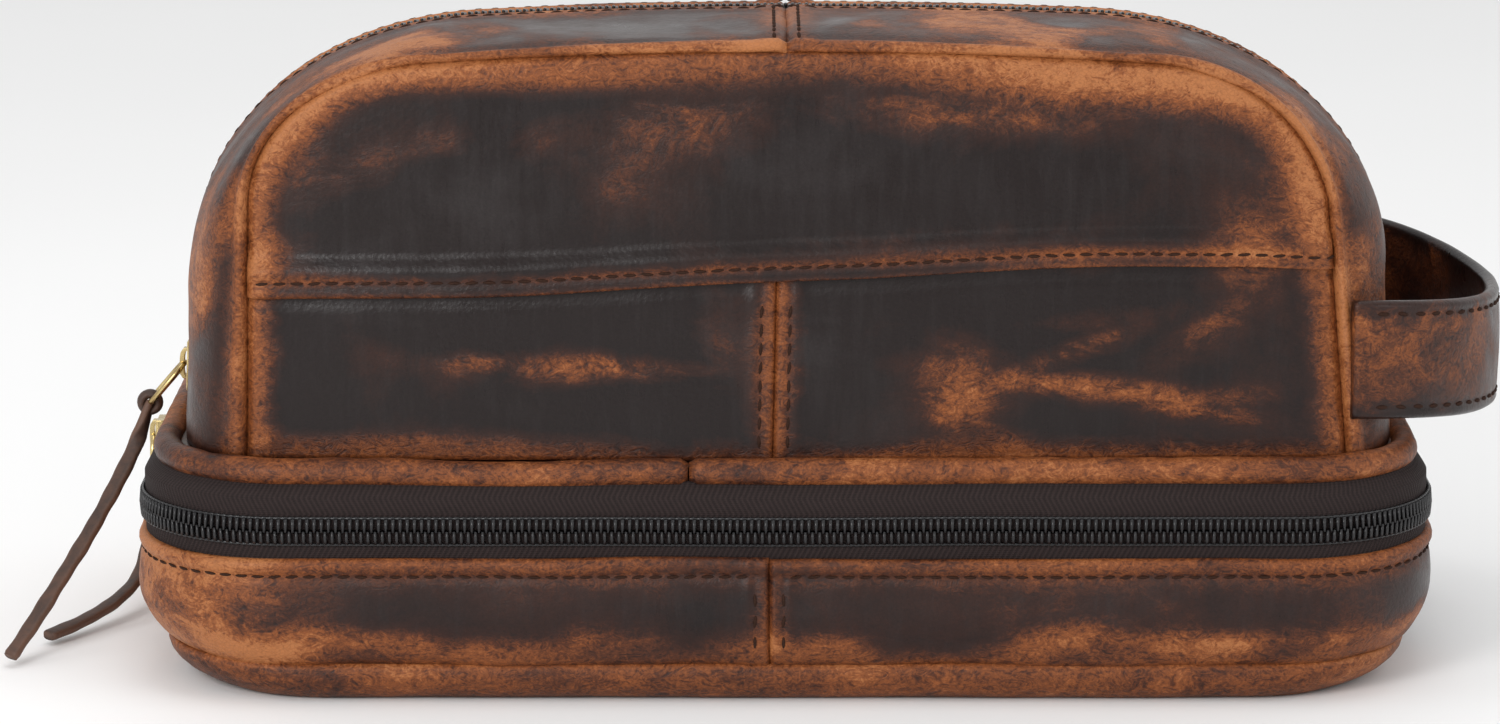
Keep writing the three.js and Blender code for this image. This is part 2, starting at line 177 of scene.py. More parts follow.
def strip_along(name, route, material):
    """A flat strip with a squared end; edge is 1 on its two cut sides."""
    length = run_length(route)
    at = np.linspace(0, length[-1], LACE_RINGS)
    line = sample(route, length, at)
    forward = unit(np.gradient(line, axis=0))
    share = np.clip(at / 16, 0, 1)[:, None]
    turned = unit(np.cross(forward, [-0.45, -0.75, 0.5]))
    across = unit((1 - share) * [0.0, -1, 0] + share * turned)
    across = unit(across - np.sum(across * forward, -1, keepdims=True) * forward)
    face = np.cross(forward, across)
    angle = np.linspace(0, 2 * np.pi, LACE_AROUND, endpoint=False)
    curl = lambda v: np.sign(v) * np.abs(v) ** 0.62
    wide, deep = curl(np.cos(angle)) * LACE_WIDTH / 2, curl(np.sin(angle)) * LACE_THICKNESS / 2
    size = 1 + 0.06 * np.sin(at * 0.9) + 0.05 * np.sin(at * 0.37 + 1)
    size *= 1 + 0.22 * np.exp(-((at / 3.5) ** 2))
    size[-1] = 0.86
    points = (
        line[:, None] + across[:, None] * (wide[None, :, None] * size[:, None, None])
        + face[:, None] * deep[None, :, None]
    )
    points[..., 2] = np.maximum(points[..., 2], TABLE_GAP)
    cut_side = np.tile(np.clip(np.abs(np.cos(angle)) * 2 - 1, 0, 1), LACE_RINGS)
    faces = tube_faces(LACE_RINGS, LACE_AROUND)
    made = piece_from(name, points.reshape(-1, 3), faces, material, cut_side)
    return turn_outwards(made, merge=0)


# %% Both laces
TOP_RING_END = (-135.393, 0, 48.76)
TRAY_RING_END = (-137.35, 24, 24.9)
TOP_ROUTE = smooth_route([
    TOP_RING_END, (-138, -3.5, 41), (-142.2, -10, 32.5), (-147.4, -17, 23.5),
    (-152.6, -24, 15.5), (-157.6, -30.5, 8), (-161.8, -36, 2.2),
])
TRAY_ROUTE = smooth_route([
    TRAY_RING_END, (-138.2, 20, 15), (-139.8, 11, 8.2), (-143.6, 1, 5),
    (-149.6, -9, 3), (-156, -18.4, 2.1),
])
lace_leather = bpy.data.materials.new("lace_strip_leather")
for word, route, end in (("top", TOP_ROUTE, TOP_RING_END), ("tray", TRAY_ROUTE, TRAY_RING_END)):
    lace = strip_along(word + "_lace_strip", route, lace_leather)
    bpy.ops.object.select_all(action="DESELECT")
    bpy.ops.mesh.primitive_torus_add(
        major_radius=1.8, minor_radius=1.02, major_segments=24, minor_segments=12,
        location=(0, 0, 0), rotation=(math.pi / 2, 0, 0),
    )
    fold = bpy.context.object
    fold.name = word + "_lace_fold"
    bpy.ops.object.transform_apply(location=True, rotation=True, scale=True)
    bpy.ops.object.mode_set(mode="EDIT")
    bpy.ops.mesh.select_all(action="SELECT")
    bpy.ops.transform.resize(value=(1, 1.7, 1))
    bpy.ops.transform.resize(value=(MM, MM, MM))
    bpy.ops.transform.translate(value=[v * MM for v in end])
    bpy.ops.object.mode_set(mode="OBJECT")
    fold.data.materials.append(lace_leather)
    fold.data.shade_smooth()
    for piece in (lace, fold):
        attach(piece, word + "_lace_body")
    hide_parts(word + "_lace")
    [v * MM for v in end]


# %% [markdown]
# ## Light
# A strong soft light on the left, a weaker one above, faint ones on the right and in front,
# and a white room. They give waxed leather the broad grey sheen that shows its smoothness.


# %% Lights
def soft_light(name, place, target, size, watts):
    lamp = bpy.data.lights.new(name, "AREA")
    lamp.shape = "RECTANGLE"
    lamp.size, lamp.size_y = size
    lamp.energy = watts
    look(bpy.data.objects.new(name, lamp), place, target)


soft_light("left_softbox", (-0.55, -0.95, 0.55), (-0.05, 0, 0.09), (0.35, 0.5), 6.0)
soft_light("top_softbox", (0.05, 0.05, 0.95), (0, 0, 0.1), (0.8, 0.5), 2.2)
soft_light("right_softbox", (0.85, -0.45, 0.4), (0.05, 0, 0.07), (0.35, 0.6), 1.1)
soft_light("front_fill", (0.0, -1.5, 0.75), (0, 0, 0.07), (0.9, 0.5), 0.9)

world = bpy.data.worlds.new("pale_room")
world.use_nodes = True
world.node_tree.nodes["Background"].inputs["Color"].default_value = (1, 1, 1, 1)
world.node_tree.nodes["Background"].inputs["Strength"].default_value = 0.80
bpy.context.scene.world = world

# %% [markdown]
# ## Shader maths
# A leather colour is a sum of many small masks. Written as nodes by hand that is long, so
# one small class wraps a socket, and an ordinary Python expression then adds the Math nodes.


# %% A socket that can be calculated with
class Value:
    def __init__(self, tree, socket):
        self.tree, self.socket = tree, socket

    def node(self, kind, settings=None, **inputs):
        made = self.tree.nodes.new(kind)
        for key, value in (settings or {}).items():
            if key == "stops":
                ramp = made.color_ramp
                while len(ramp.elements) < len(value):
                    ramp.elements.new(0.5)
                for stop, (place, tone) in zip(ramp.elements, value):
                    stop.position = place
                    stop.color = (*tone, 1)
            else:
                setattr(made, key, value)
        for key, value in inputs.items():
            target = made.inputs[key.replace("_", " ")]
            if isinstance(value, Value):
                self.tree.links.new(value.socket, target)
            elif value is not None:
                target.default_value = value
        return made

    def out(self, made, name=0):
        return Value(self.tree, made.outputs[name])

    def math(self, operation, other=None, third=None, clamp=False):
        made = self.tree.nodes.new("ShaderNodeMath")
        made.operation, made.use_clamp = operation, clamp
        for slot, value in enumerate((self, other, third)):
            if isinstance(value, Value):
                self.tree.links.new(value.socket, made.inputs[slot])
            elif value is not None:
                made.inputs[slot].default_value = value
        return Value(self.tree, made.outputs[0])

    def __add__(self, other):
        return self.math("ADD", other)

    def __sub__(self, other):
        return self.math("SUBTRACT", other)

    def __mul__(self, other):
        return self.math("MULTIPLY", other)

    def __rsub__(self, other):
        return self.math("MULTIPLY_ADD", -1.0, other)

    __radd__, __rmul__ = __add__, __mul__

    def clamp(self):
        return self.math("ADD", 0.0, clamp=True)

    def smooth(self, low, high):
        """0 below low, 1 above high, and a soft step between."""
        made = self.node(
            "ShaderNodeMapRange", {"interpolation_type": "SMOOTHSTEP"},
            Value=self, From_Min=low, From_Max=high,
        )
        return self.out(made, "Result")

    def mix(self, low, high):
        """A colour between two colours, with this value as the share of the second."""
        made = self.node("ShaderNodeMix", {"data_type": "RGBA"}, Factor=self)
        for slot, tone in (("A", low), ("B", high)):
            target = next(s for s in made.inputs if s.name == slot and s.type == "RGBA")
            if isinstance(tone, Value):
                self.tree.links.new(tone.socket, target)
            else:
                target.default_value = (*tone, 1)
        result = next(s for s in made.outputs if s.type == "RGBA")
        return Value(self.tree, result)


# %% A finish: a Principled shader with a few useful inputs beside it
class Finish:
    def __init__(self, name, material=None):
        self.material = material or bpy.data.materials.new(name)
        self.material.use_nodes = True
        self.tree = self.material.node_tree
        self.shader = self.tree.nodes["Principled BSDF"]
        self.start = Value(self.tree, None)
        coordinates = self.start.node("ShaderNodeTexCoord")
        self.place = Value(self.tree, coordinates.outputs["Object"])
        self.uv = Value(self.tree, coordinates.outputs["UV"])

    def attribute(self, name):
        made = self.start.node("ShaderNodeAttribute", {"attribute_name": name})
        return Value(self.tree, made.outputs["Fac"])

    def stretch(self, scale, turn=(0, 0, 0), source=None):
        made = self.start.node(
            "ShaderNodeMapping", None, Vector=source or self.place, Scale=scale, Rotation=turn
        )
        return self.start.out(made)

    def noise(self, scale, detail=2.0, rough=0.5, distort=0.0, source=None):
        made = self.start.node(
            "ShaderNodeTexNoise", None, Vector=source or self.place,
            Scale=scale, Detail=detail, Roughness=rough, Distortion=distort,
        )
        return self.start.out(made, "Fac")

    def cells(self, scale, source=None, feature="F1"):
        made = self.start.node(
            "ShaderNodeTexVoronoi", {"feature": feature},
            Vector=source or self.place, Scale=scale,
        )
        return self.start.out(made, "Distance")

    def bump(self, height, strength, distance):
        made = self.start.node("ShaderNodeBump", None, Height=height)
        made.inputs["Strength"].default_value = strength
        made.inputs["Distance"].default_value = distance
        self.tree.links.new(made.outputs["Normal"], self.shader.inputs["Normal"])

    def set(self, **inputs):
        for key, value in inputs.items():
            target = self.shader.inputs[key.replace("_", " ")]
            if isinstance(value, Value):
                self.tree.links.new(value.socket, target)
            elif isinstance(value, tuple):
                target.default_value = (*value, 1)
            else:
                target.default_value = value


# %% [markdown]
# ## Pull-up leather
# The hide is dyed dark and soaked in oil and wax. Wherever it is bent, rubbed or folded the
# wax moves away and the orange brown below shows: along every turned edge, over seams, and
# in creases across the flat parts. So one value, here called pull, runs from 0, dark and
# waxy, to 1, worn and orange. It sums a mask of closeness to an edge, which each piece
# stores per point as "edge", listed patches stored as "worn", and noise that breaks
# both up. Grain and fine creases are bump.

# %% Leather
WAX = (0.0095, 0.0052, 0.0048)
# A pale grey for the dark wax: partly wax bloom, partly a painted sheen
WAX_BLOOM_AND_SHEEN = (0.030, 0.025, 0.025)
DARK_BROWN = (0.027, 0.0092, 0.0058)
MID_BROWN = (0.078, 0.0225, 0.0085)
ORANGE = (0.205, 0.060, 0.0160)
PALE = (0.34, 0.125, 0.042)


def pull_up_leather(name, lift=0.10, edge_reach=0.010, edge_strength=0.62, vein=1.0):
    """lift makes the whole piece more worn, edge_reach is how far in the edges are worn."""
    f = Finish(name)
    wide = f.noise(7, 3, 0.55, 0.8)
    cloud = f.noise(19, 5, 0.62, 0.7)
    mottle = f.noise(85, 7, 0.74, 1.1, f.stretch((0.7, 1, 1.15)))
    fine = f.noise(520, 4, 0.7, 1.6)
    fold = f.noise(300, 4, 0.6, 2.2, f.stretch((0.75, 1, 1.3)))
    ridge = 1 - ((fold - 0.5) * 5.0).math("ABSOLUTE").clamp()
    ragged = f.attribute("edge") + (cloud - 0.5) * 0.012 + (mottle - 0.5) * 0.012
    near_edge = 1 - ragged.smooth(0.0, edge_reach)
    worn = f.attribute("worn")
    torn = worn * (mottle * 1.9 + cloud * 0.7 - 0.55) * vein
    soft = (wide - 0.48) * 0.75 + (cloud - 0.5) * 0.75 + lift
    soft = soft + near_edge * edge_strength * (cloud * 2.0 + 0.02) + torn
    middle = soft.smooth(0.22, 0.55)
    pull = soft + (mottle - 0.5) * (middle * 0.55 + 0.10)
    pull = pull + (fine - 0.5) * (middle * 0.60 + 0.10)
    pull = (pull + (ridge - 0.45) * middle * 0.26).clamp()
    ramp = f.start.node(
        "ShaderNodeValToRGB",
        {"stops": [(0.0, WAX), (0.16, WAX), (0.36, DARK_BROWN), (0.55, MID_BROWN),
                   (0.80, ORANGE), (1.0, PALE)]},
        Fac=pull,
    )
    # Grey patches over the dark wax: partly wax bloom, partly a painted sheen standing in for
    # reflected light
    haze_and_sheen = f.noise(13, 4, 0.6, 1.0, f.stretch((1, 1, 1.4))).smooth(0.46, 0.72)
    fibre = f.noise(330, 5, 0.75, 0.4, f.stretch((1, 1, 0.12)))
    waxed = Value(f.tree, ramp.outputs["Color"])
    bloom_and_sheen = (haze_and_sheen * 0.55 + (fibre - 0.5) * 1.1) * (1 - middle) * 0.8
    waxed = bloom_and_sheen.clamp().mix(waxed, WAX_BLOOM_AND_SHEEN)
    grain = f.cells(1000)
    turned = f.stretch((0.8, 1, 1.2), (0.3, 0.2, 0.5))
    cracks = f.cells(1150, turned, "DISTANCE_TO_EDGE").smooth(0.0, 0.16)
    # The colour is darkened in grain pits and cracks: painted shade in the hollows
    shaded_pits = grain.smooth(0.05, 0.45) * 0.35 + fine * 0.35 + cracks * 0.38
    shade = f.start.node("ShaderNodeMix", {"data_type": "RGBA", "blend_type": "MULTIPLY"})
    shade.inputs[0].default_value = 0.5
    f.tree.links.new(waxed.socket, shade.inputs[6])
    depth = shaded_pits * 0.9 + 0.45
    grey = f.start.node("ShaderNodeCombineColor", None, Red=depth, Green=depth, Blue=depth)
    f.tree.links.new(grey.outputs[0], shade.inputs[7])
    rough = middle * 0.20 + (cloud - 0.5) * 0.30 + (mottle - 0.5) * 0.18
    rough = rough + (fibre - 0.5) * 0.16 + 0.31
    f.set(Base_Color=Value(f.tree, shade.outputs[2]), Roughness=rough, Specular_IOR_Level=0.24)
    f.set(Coat_Weight=0.04, Coat_Roughness=0.3)
    height = grain * 0.35 + fine * 0.35 + ridge * (middle * 0.9 + 0.05)
    height = height + mottle * 0.8 + fibre * 0.3
    f.bump(height, 0.38, 0.0003)
    return f.material


panel_leather = pull_up_leather("panel_leather", lift=0.10, vein=0.8)
gusset_leather = pull_up_leather("gusset_leather", lift=0.40, edge_reach=0.008, edge_strength=0.35)
tray_leather = pull_up_leather("tray_leather", lift=0.22, edge_reach=0.008, edge_strength=0.32)
piping_leather = pull_up_leather("piping_leather", lift=0.47, edge_strength=0.2, vein=0.4)
base_leather = pull_up_leather("base_leather", lift=0.50, edge_strength=0.2, vein=0.5)
strap_leather = pull_up_leather(
    "strap_leather", lift=0.33, edge_reach=0.004, edge_strength=-0.22, vein=0.4
)
print("leather finishes made")

# %% [markdown]
# ## Thread, cloth, tape, coil and brass
# Each small finish has the one thing that tells it apart: thread has a twist, cotton has a
# plain weave, zip tape has a herringbone, nylon coil is smooth and glossy, and brass has
# fine scratches and darker, warmer stains in patches.


# %% Thread and laces
def thread_finish():
    f = Finish("brown_thread")
    twist = f.noise(2600, 2, 0.6)
    f.set(Base_Color=twist.mix((0.0144, 0.0072, 0.0048), (0.0480, 0.0208, 0.0128)), Roughness=0.8)
    f.set(Specular_IOR_Level=0.12)
    f.bump(twist, 0.3, 0.0001)
    return f.material


def lace_finish():
    f = Finish("lace_leather", lace_leather)
    fibre = f.noise(420, 5, 0.7, 0.4)
    cloud = f.noise(60, 3, 0.6)
    edge = f.attribute("edge")
    tone = (cloud * 0.5 + fibre * 0.5).smooth(0.35, 0.72)
    colour = tone.mix((0.0256, 0.0136, 0.0096), (0.0960, 0.0448, 0.0272))
    f.set(Base_Color=(edge * 0.6).mix(colour, (0.1600, 0.0800, 0.0496)))
    f.set(Roughness=0.62 + (fibre - 0.5) * 0.3)
    f.bump(fibre + f.cells(900) * 0.4, 0.5, 0.0003)
    return f.material


brown_thread = thread_finish()
lace_finish()


# %% Cloth and board
def cotton_finish(name, dark, light):
    f = Finish(name)
    across = f.start.node("ShaderNodeTexWave", {"bands_direction": "X"}, Vector=f.uv, Scale=520)
    down = f.start.node("ShaderNodeTexWave", {"bands_direction": "Y"}, Vector=f.uv, Scale=520)
    weave = Value(f.tree, across.outputs["Fac"]) * 0.5 + Value(f.tree, down.outputs["Fac"]) * 0.5
    slub = f.noise(90, 3, 0.6)
    f.set(Base_Color=(weave * 0.6 + slub * 0.5).clamp().mix(dark, light), Roughness=0.92)
    f.bump(weave + slub * 0.3, 0.5, 0.0002)
    return f.material


def board_finish():
    f = Finish("stiffener_board")
    fibre = f.noise(300, 4, 0.7)
    f.set(Base_Color=fibre.mix((0.16, 0.11, 0.07), (0.30, 0.22, 0.14)), Roughness=0.9)
    f.bump(fibre, 0.3, 0.0002)
    return f.material


lining_cotton = cotton_finish("lining_cotton", (0.14, 0.10, 0.065), (0.34, 0.26, 0.18))
stiffener_board = board_finish()


# %% Zip tape and coil
def tape_finish():
    """The tape's UV map is in metres: U along the zip and V across it."""
    f = Finish("tape_cloth")
    parts = f.start.node("ShaderNodeSeparateXYZ", None, Vector=f.uv)
    u, v = Value(f.tree, parts.outputs["X"]), Value(f.tree, parts.outputs["Y"])
    fold = (v * (1 / 0.0034)).math("PINGPONG", 1.0)
    rib = ((u * (1 / 0.0011) + fold * 1.6) * (2 * math.pi)).math("SINE") * 0.5 + 0.5
    thread = ((v * (1 / 0.00042)) * (2 * math.pi)).math("SINE") * 0.5 + 0.5
    fuzz = f.noise(900, 4, 0.7)
    tone = (rib * 0.5 + thread * 0.2 + fuzz * 0.5).clamp()
    f.set(Base_Color=tone.mix((0.0065, 0.0042, 0.0042), (0.030, 0.0195, 0.0185)), Roughness=0.82)
    f.set(Specular_IOR_Level=0.2)
    f.bump(rib + thread * 0.4 + fuzz * 0.3, 0.6, 0.00022)
    return f.material


def coil_finish():
    f = Finish("nylon_coil")
    wear = f.noise(400, 3, 0.6)
    f.set(Base_Color=wear.mix((0.006, 0.006, 0.007), (0.016, 0.015, 0.016)))
    f.set(Roughness=wear * 0.14 + 0.22, Specular_IOR_Level=0.45)
    return f.material


zip_tape = tape_finish()
nylon_coil = coil_finish()


# %% Brass
def brass_finish():
    f = Finish("aged_brass")
    scratch = f.noise(500, 4, 0.7, 0.2, f.stretch((1, 6, 1)))
    stain = f.noise(120, 3, 0.6)
    f.set(Base_Color=stain.smooth(0.35, 0.7).mix((0.70, 0.56, 0.27), (0.42, 0.30, 0.13)))
    f.set(Metallic=1.0, Roughness=scratch * 0.22 + 0.16)
    f.bump(scratch, 0.12, 0.0001)
    return f.material


aged_brass = brass_finish()


# %% Table
def table_finish():
    f = Finish("pale_table")
    f.set(Base_Color=f.noise(3, 2, 0.5).mix((0.86, 0.86, 0.86), (0.92, 0.92, 0.92)), Roughness=0.7)
    return f.material


bpy.ops.mesh.primitive_plane_add(size=6, location=(0, 0, 0))
table = bpy.context.object
table.name = "table"
table.data.materials.append(table_finish())

# %% [markdown]
# ## From a grid of points to a piece of leather
# Every sewn piece is a sheet: a grid of points for its outer side, lifted or lowered along
# the surface by a height, and the same grid again one thickness further in. A rim joins the
# two, so the piece is closed. Rolls, grooves, turned edges and stitch lines are all heights,
# which keeps the sewing lines exact where a cloth simulation would blur them.


# %% Sheet helpers
def grid_normals(grid, inside, ring=False):
    """The grid's normals, pointing away from a point inside the bag."""
    if ring:
        rows = np.roll(grid, -1, 0) - np.roll(grid, 1, 0)
    else:
        rows = np.gradient(grid, axis=0)
    normals = unit(np.cross(rows, np.gradient(grid, axis=1)))
    facing = np.sum(normals * (grid - np.asarray(inside)), axis=-1)
    return normals if np.median(np.sign(facing)) >= 0 else -normals


def ripple(points, size, seed, octaves=2):
    """Soft unevenness between -1 and 1, the same in every run."""
    flat = points.reshape(-1, 3) / size + seed * 7.31
    found = [noise.fractal(Vector(p), 1.0, 2.0, octaves) for p in flat]
    return np.array(found).reshape(points.shape[:-1])


def ease(x, low, high):
    t = np.clip((x - low) / (high - low), 0, 1)
    return t * t * (3 - 2 * t)


def hill(x, middle, width):
    """A soft bump, 1 at its middle."""
    return np.exp(-(((x - middle) / width) ** 2))


def bezier(t, a, b, c, d):
    return (1 - t) ** 3 * a + 3 * t * (1 - t) ** 2 * b + 3 * t * t * (1 - t) * c + t**3 * d


def level(line, z=0.0):
    """A plan line raised to a height, which is one number or one for each point."""
    return np.column_stack([line, np.broadcast_to(z, len(line))])


def upright(line):
    """A line of x and z, stood up at mid depth."""
    return np.stack([line[:, 0], 0 * line[:, 0], line[:, 1]], -1)


def dress(nodes, material):
    """These pieces keep the model's own mesh and get a new finish."""
    for node in nodes:
        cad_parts[node].data.materials.clear()
        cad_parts[node].data.materials.append(material)


def sheet(name, outer, inner, material, edge, worn=None, uv=None, ring=False):
    """A closed sheet between two grids. ring joins the last row to the first."""
    n, m = outer.shape[:2]
    points = np.concatenate([outer.reshape(-1, 3), inner.reshape(-1, 3)])
    faces = []
    last = n if ring else n - 1
    for i in range(last):
        a, b = i * m, ((i + 1) % n) * m
        for j in range(m - 1):
            faces.append((a + j, b + j, b + j + 1, a + j + 1))
            faces.append((n * m + a + j, n * m + a + j + 1, n * m + b + j + 1, n * m + b + j))
        for j in (0, m - 1):
            faces.append((a + j, b + j, n * m + b + j, n * m + a + j))
    if not ring:
        for i in (0, n - 1):
            for j in range(m - 1):
                a = i * m + j
                faces.append((a, a + 1, n * m + a + 1, n * m + a))

    def both(values):
        if values is None:
            return None
        return np.concatenate([np.asarray(values).reshape(n * m, -1)] * 2)

    return turn_outwards(
        piece_from(name, points, faces, material, both(edge), both(worn), both(uv))
    )


def distance_to(points, line):
    """Each point's distance from a line of points, all in one plane."""
    a, b = line[:-1], line[1:]
    best = np.full(points.shape[:-1], 1e9)
    for p, q in zip(a, b):
        d = q - p
        t = np.clip(((points - p) @ d) / max(d @ d, 1e-12), 0, 1)
        best = np.minimum(best, np.linalg.norm(points - (p + t[..., None] * d), axis=-1))
    return best


def seam_dip(distance, depth=1.9, width=1.9):
    """How far a surface turns in at a sewn edge."""
    t = np.clip(1 - distance / width, 0, 1)
    return -depth * t * t


def stitch_dent(distance, depth=0.28, width=1.1):
    """The small valley that a tight row of stitches pulls."""
    return -depth * hill(distance, 0, width)


# %% [markdown]
# ## The main bag's form
# From the front the bag is an arch with nearly straight sides. At the front seam the arch is
# smaller than at mid depth, where the zip runs, so the side leather swells out from the
# seam. Leather is never even: the left side leans in more than the right, and the lap across
# the front climbs a little from left to right.

# %% Arches and depths, in millimetres
BAG_BOTTOM = 49.0
BAG_DEPTH = 54.0
SEAM_ARCH = {
    -1: dict(half=110.0, side=53, lean=0.8, top_half=72, eaves=81, crown=83.6),
    1: dict(half=114.2, side=53, lean=4.4, top_half=72, eaves=81, crown=83.6),
}
ZIP_ARCH = {
    -1: dict(half=125.2, side=37, lean=2.01, top_half=62, eaves=84.2, crown=85.8),
    1: dict(half=125.6, side=37, lean=1.0, top_half=62, eaves=84.6, crown=85.8),
}


WALL_STEPS, CORNER_STEPS, ROOF_STEPS = 34, 44, 40
HAND = {-1: "left", 1: "right"}


def arch(side, half, side_height, lean, top_half, eaves, crown):
    """Half an arch, from its foot up to the crown."""
    up = np.linspace(0, 1, WALL_STEPS, endpoint=False)[:, None]
    foot, hip = np.array([half, 0.0]), np.array([half - lean, side_height])
    wall = foot + (hip - foot) * up
    t = np.linspace(0, 1, CORNER_STEPS, endpoint=False)[:, None]
    rise, run = eaves - side_height, half - lean - top_half
    shoulder = half - 1.9 * lean if lean > 2 else half - lean - 1.2
    c1 = np.array([shoulder, side_height + 0.57 * rise])
    c2 = np.array([top_half + 0.54 * run, eaves - 0.02 * rise])
    end = np.array([top_half, eaves])
    corner = bezier(t, hip, c1, c2, end)
    t = np.linspace(0, 1, ROOF_STEPS)[:, None]
    middle, top = np.array([0.5 * top_half, crown]), np.array([0.0, crown])
    roof = (1 - t) ** 2 * end + 2 * t * (1 - t) * middle + t * t * top
    line = np.concatenate([wall, corner, roof])
    return line * [side, 1]


def arch_of(shape, side):
    s = shape[side]
    return arch(side, s["half"], s["side"], s["lean"], s["top_half"], s["eaves"], s["crown"])


def face_depth(x, z):
    """How far the front and back panels stand from mid depth."""
    rise = np.clip(z / 85.8, 0, 1)
    bow = 0.045 * np.clip(1 - (x / 112.0) ** 2, 0, 1)
    return BAG_DEPTH * (1 - 0.07 * rise) * (1 + bow) + 0.8 * np.sin(np.pi * rise) * bow / 0.045


def back_slope(y):
    """The bag's top falls a little from the zip to the back."""
    return 1 - 0.1 * np.maximum(y, 0) / BAG_DEPTH


def whole_arch(shape):
    left, right = arch_of(shape, -1), arch_of(shape, 1)
    return np.concatenate([left, right[::-1][1:]])


SEAM_LINE = whole_arch(SEAM_ARCH)
ZIP_LINE = whole_arch(ZIP_ARCH)
for word, line in (("front seam", SEAM_LINE), ("top zip", ZIP_LINE)):
    print(word, round(float(run_length(line)[-1])), "mm")


# %% Places on the front and back
def lap_height(x):
    """The folded lower edge of the upper panel, above the bag's bottom."""
    t = np.clip((x + 112) / 226, 0, 1)
    return 32.4 + 6.6 * ease(t, 0.02, 0.86) - 1.2 * ease(t, 0.9, 1.0) + 0.25 * np.sin(t * 19)


def seam_x(z):
    """The lower panels' shared seam, nearly in the middle."""
    return -2.4 + 0.02 * (z - 18)


# Worn patches on the front: x, height above the bag's bottom, width, height, tilt, strength
FRONT_WORN = [
    (-100, 66, 10, 18, 0.0, 0.55), (-86, 60, 16, 5, 0.5, 0.45), (-56, 66, 34, 5, 0.05, 0.40),
    (-45, 77, 40, 3.5, 0.0, 0.45), (-18, 70, 26, 9, 0.15, 0.50), (-32, 60, 10, 7, 0.9, 0.35),
    (30, 71, 34, 5, -0.05, 0.62), (60, 75, 40, 5, -0.03, 0.70), (88, 75, 22, 4, -0.15, 0.6),
    (104, 52, 6, 12, 0.3, 0.60), (94, 44, 9, 8, 0.5, 0.55), (22, 44, 30, 4, 0.1, 0.38),
    (-104, 41, 10, 6, 0.0, 0.7), (56, 42, 24, 3, 0.0, 0.28),
    (-42, 19, 34, 3.4, -0.03, 0.85), (-60, 20, 12, 3, 0.1, 0.55), (-12, 22, 7, 12, 0.0, 0.45),
    (36, 15, 9, 9, 0.8, 0.85), (52, 16, 24, 3.0, -0.12, 0.90), (74, 13, 22, 3.2, -0.22, 0.85),
    (60, 23, 14, 2.6, 0.35, 0.75), (88, 12, 10, 3, 0.1, 0.55), (42, 6, 12, 3, -0.6, 0.5),
    (84, 26, 12, 4, 0.6, 0.5), (-84, 4, 34, 2.4, 0.0, 0.45), (64, 29, 20, 2.4, 0.1, 0.4),
]
BACK_WORN = [
    (-80, 62, 30, 7, 0.1, 0.6), (10, 68, 44, 6, 0.0, 0.5), (76, 58, 22, 12, 0.5, 0.6),
    (-34, 16, 26, 4, 0.2, 0.7), (52, 20, 30, 4, -0.1, 0.7), (-92, 30, 14, 8, 0.4, 0.5),
]


def worn_at(x, z, patches):
    total = np.zeros_like(x)
    for px, pz, wide, tall, tilt, strength in patches:
        dx, dz = x - px, z - pz
        a = (dx * math.cos(tilt) + dz * math.sin(tilt)) / wide
        b = (dz * math.cos(tilt) - dx * math.sin(tilt)) / tall
        total = np.maximum(total, strength * np.exp(-(a * a + b * b) * 0.9))
    return total


# %% [markdown]
# ## The front and back panels
# The upper panel's lower edge is folded under and sewn down over the two lower panels, so it
# stands one thickness proud there, and the stitches pull a small valley beside the fold. The
# lower panels meet in a seam that is pressed open and topstitched on both sides. All three
# turn in at the outer seam. Each grid is denser near its edges, where the form changes most.


# %% Panel grids
# How far each row of stitches runs from its seam or edge
LAP_STITCH, SEAM_STITCH, ZIP_STITCH, TOP_STITCH = 3.5, 2.9, 3.0, 2.5


def crowd(count, strength=0.75):
    """Steps from 0 to 1 that are closer together near both ends."""
    t = np.linspace(0, 1, count)
    return t + strength * (-np.sin(2 * np.pi * t) / (2 * np.pi))


def resample(line, count, spread=0.0):
    length = run_length(line)
    at = crowd(count, spread) * length[-1]
    return sample(line, length, at)


def coons(bottom, top, left, right):
    """A grid that fills four joined lines."""
    n, m = len(bottom), len(left)
    u = (run_length(bottom) / run_length(bottom)[-1])[:, None, None]
    v = (run_length(left) / run_length(left)[-1])[None, :, None]
    along_u = (1 - v) * bottom[:, None] + v * top[:, None]
    along_v = (1 - u) * left[None] + u * right[None]
    corners = (
        (1 - u) * (1 - v) * bottom[0] + u * (1 - v) * bottom[-1]
        + (1 - u) * v * top[0] + u * v * top[-1]
    )
    return along_u + along_v - corners


def upper_grid():
    above = SEAM_LINE[:, 1] > lap_height(SEAM_LINE[:, 0])
    start, end = np.argmax(above), len(SEAM_LINE) - np.argmax(above[::-1])
    rim = SEAM_LINE[start:end]
    length = run_length(rim)
    half = 450
    rim = sample(rim, length, np.linspace(0, length[-1], 2 * half))
    corner = [first + np.argmin(np.abs(rim[first:first + half, 1] - 74)) for first in (0, half)]
    x = np.interp(crowd(130), [0, 1], [rim[0, 0], rim[-1, 0]])
    bottom = np.stack([x, lap_height(x)], -1)
    sides = resample(rim[: corner[0] + 1], 64, 0.6), resample(rim[corner[1]:][::-1], 64, 0.6)
    return coons(bottom, resample(rim[corner[0]: corner[1] + 1], 130, 0.75), *sides)


def lower_grid(side):
    tall = np.linspace(0, 1, 44)
    z_edge = tall * 42
    across = crowd(76, 0.8)
    grid = np.zeros((76, 44, 2))
    rim = arch_of(SEAM_ARCH, side)
    for j, z in enumerate(z_edge):
        outer = np.interp(z, rim[:, 1], rim[:, 0])
        inner = seam_x(z)
        grid[:, j, 0] = inner + (outer - inner) * across
        grid[:, j, 1] = z
    return grid


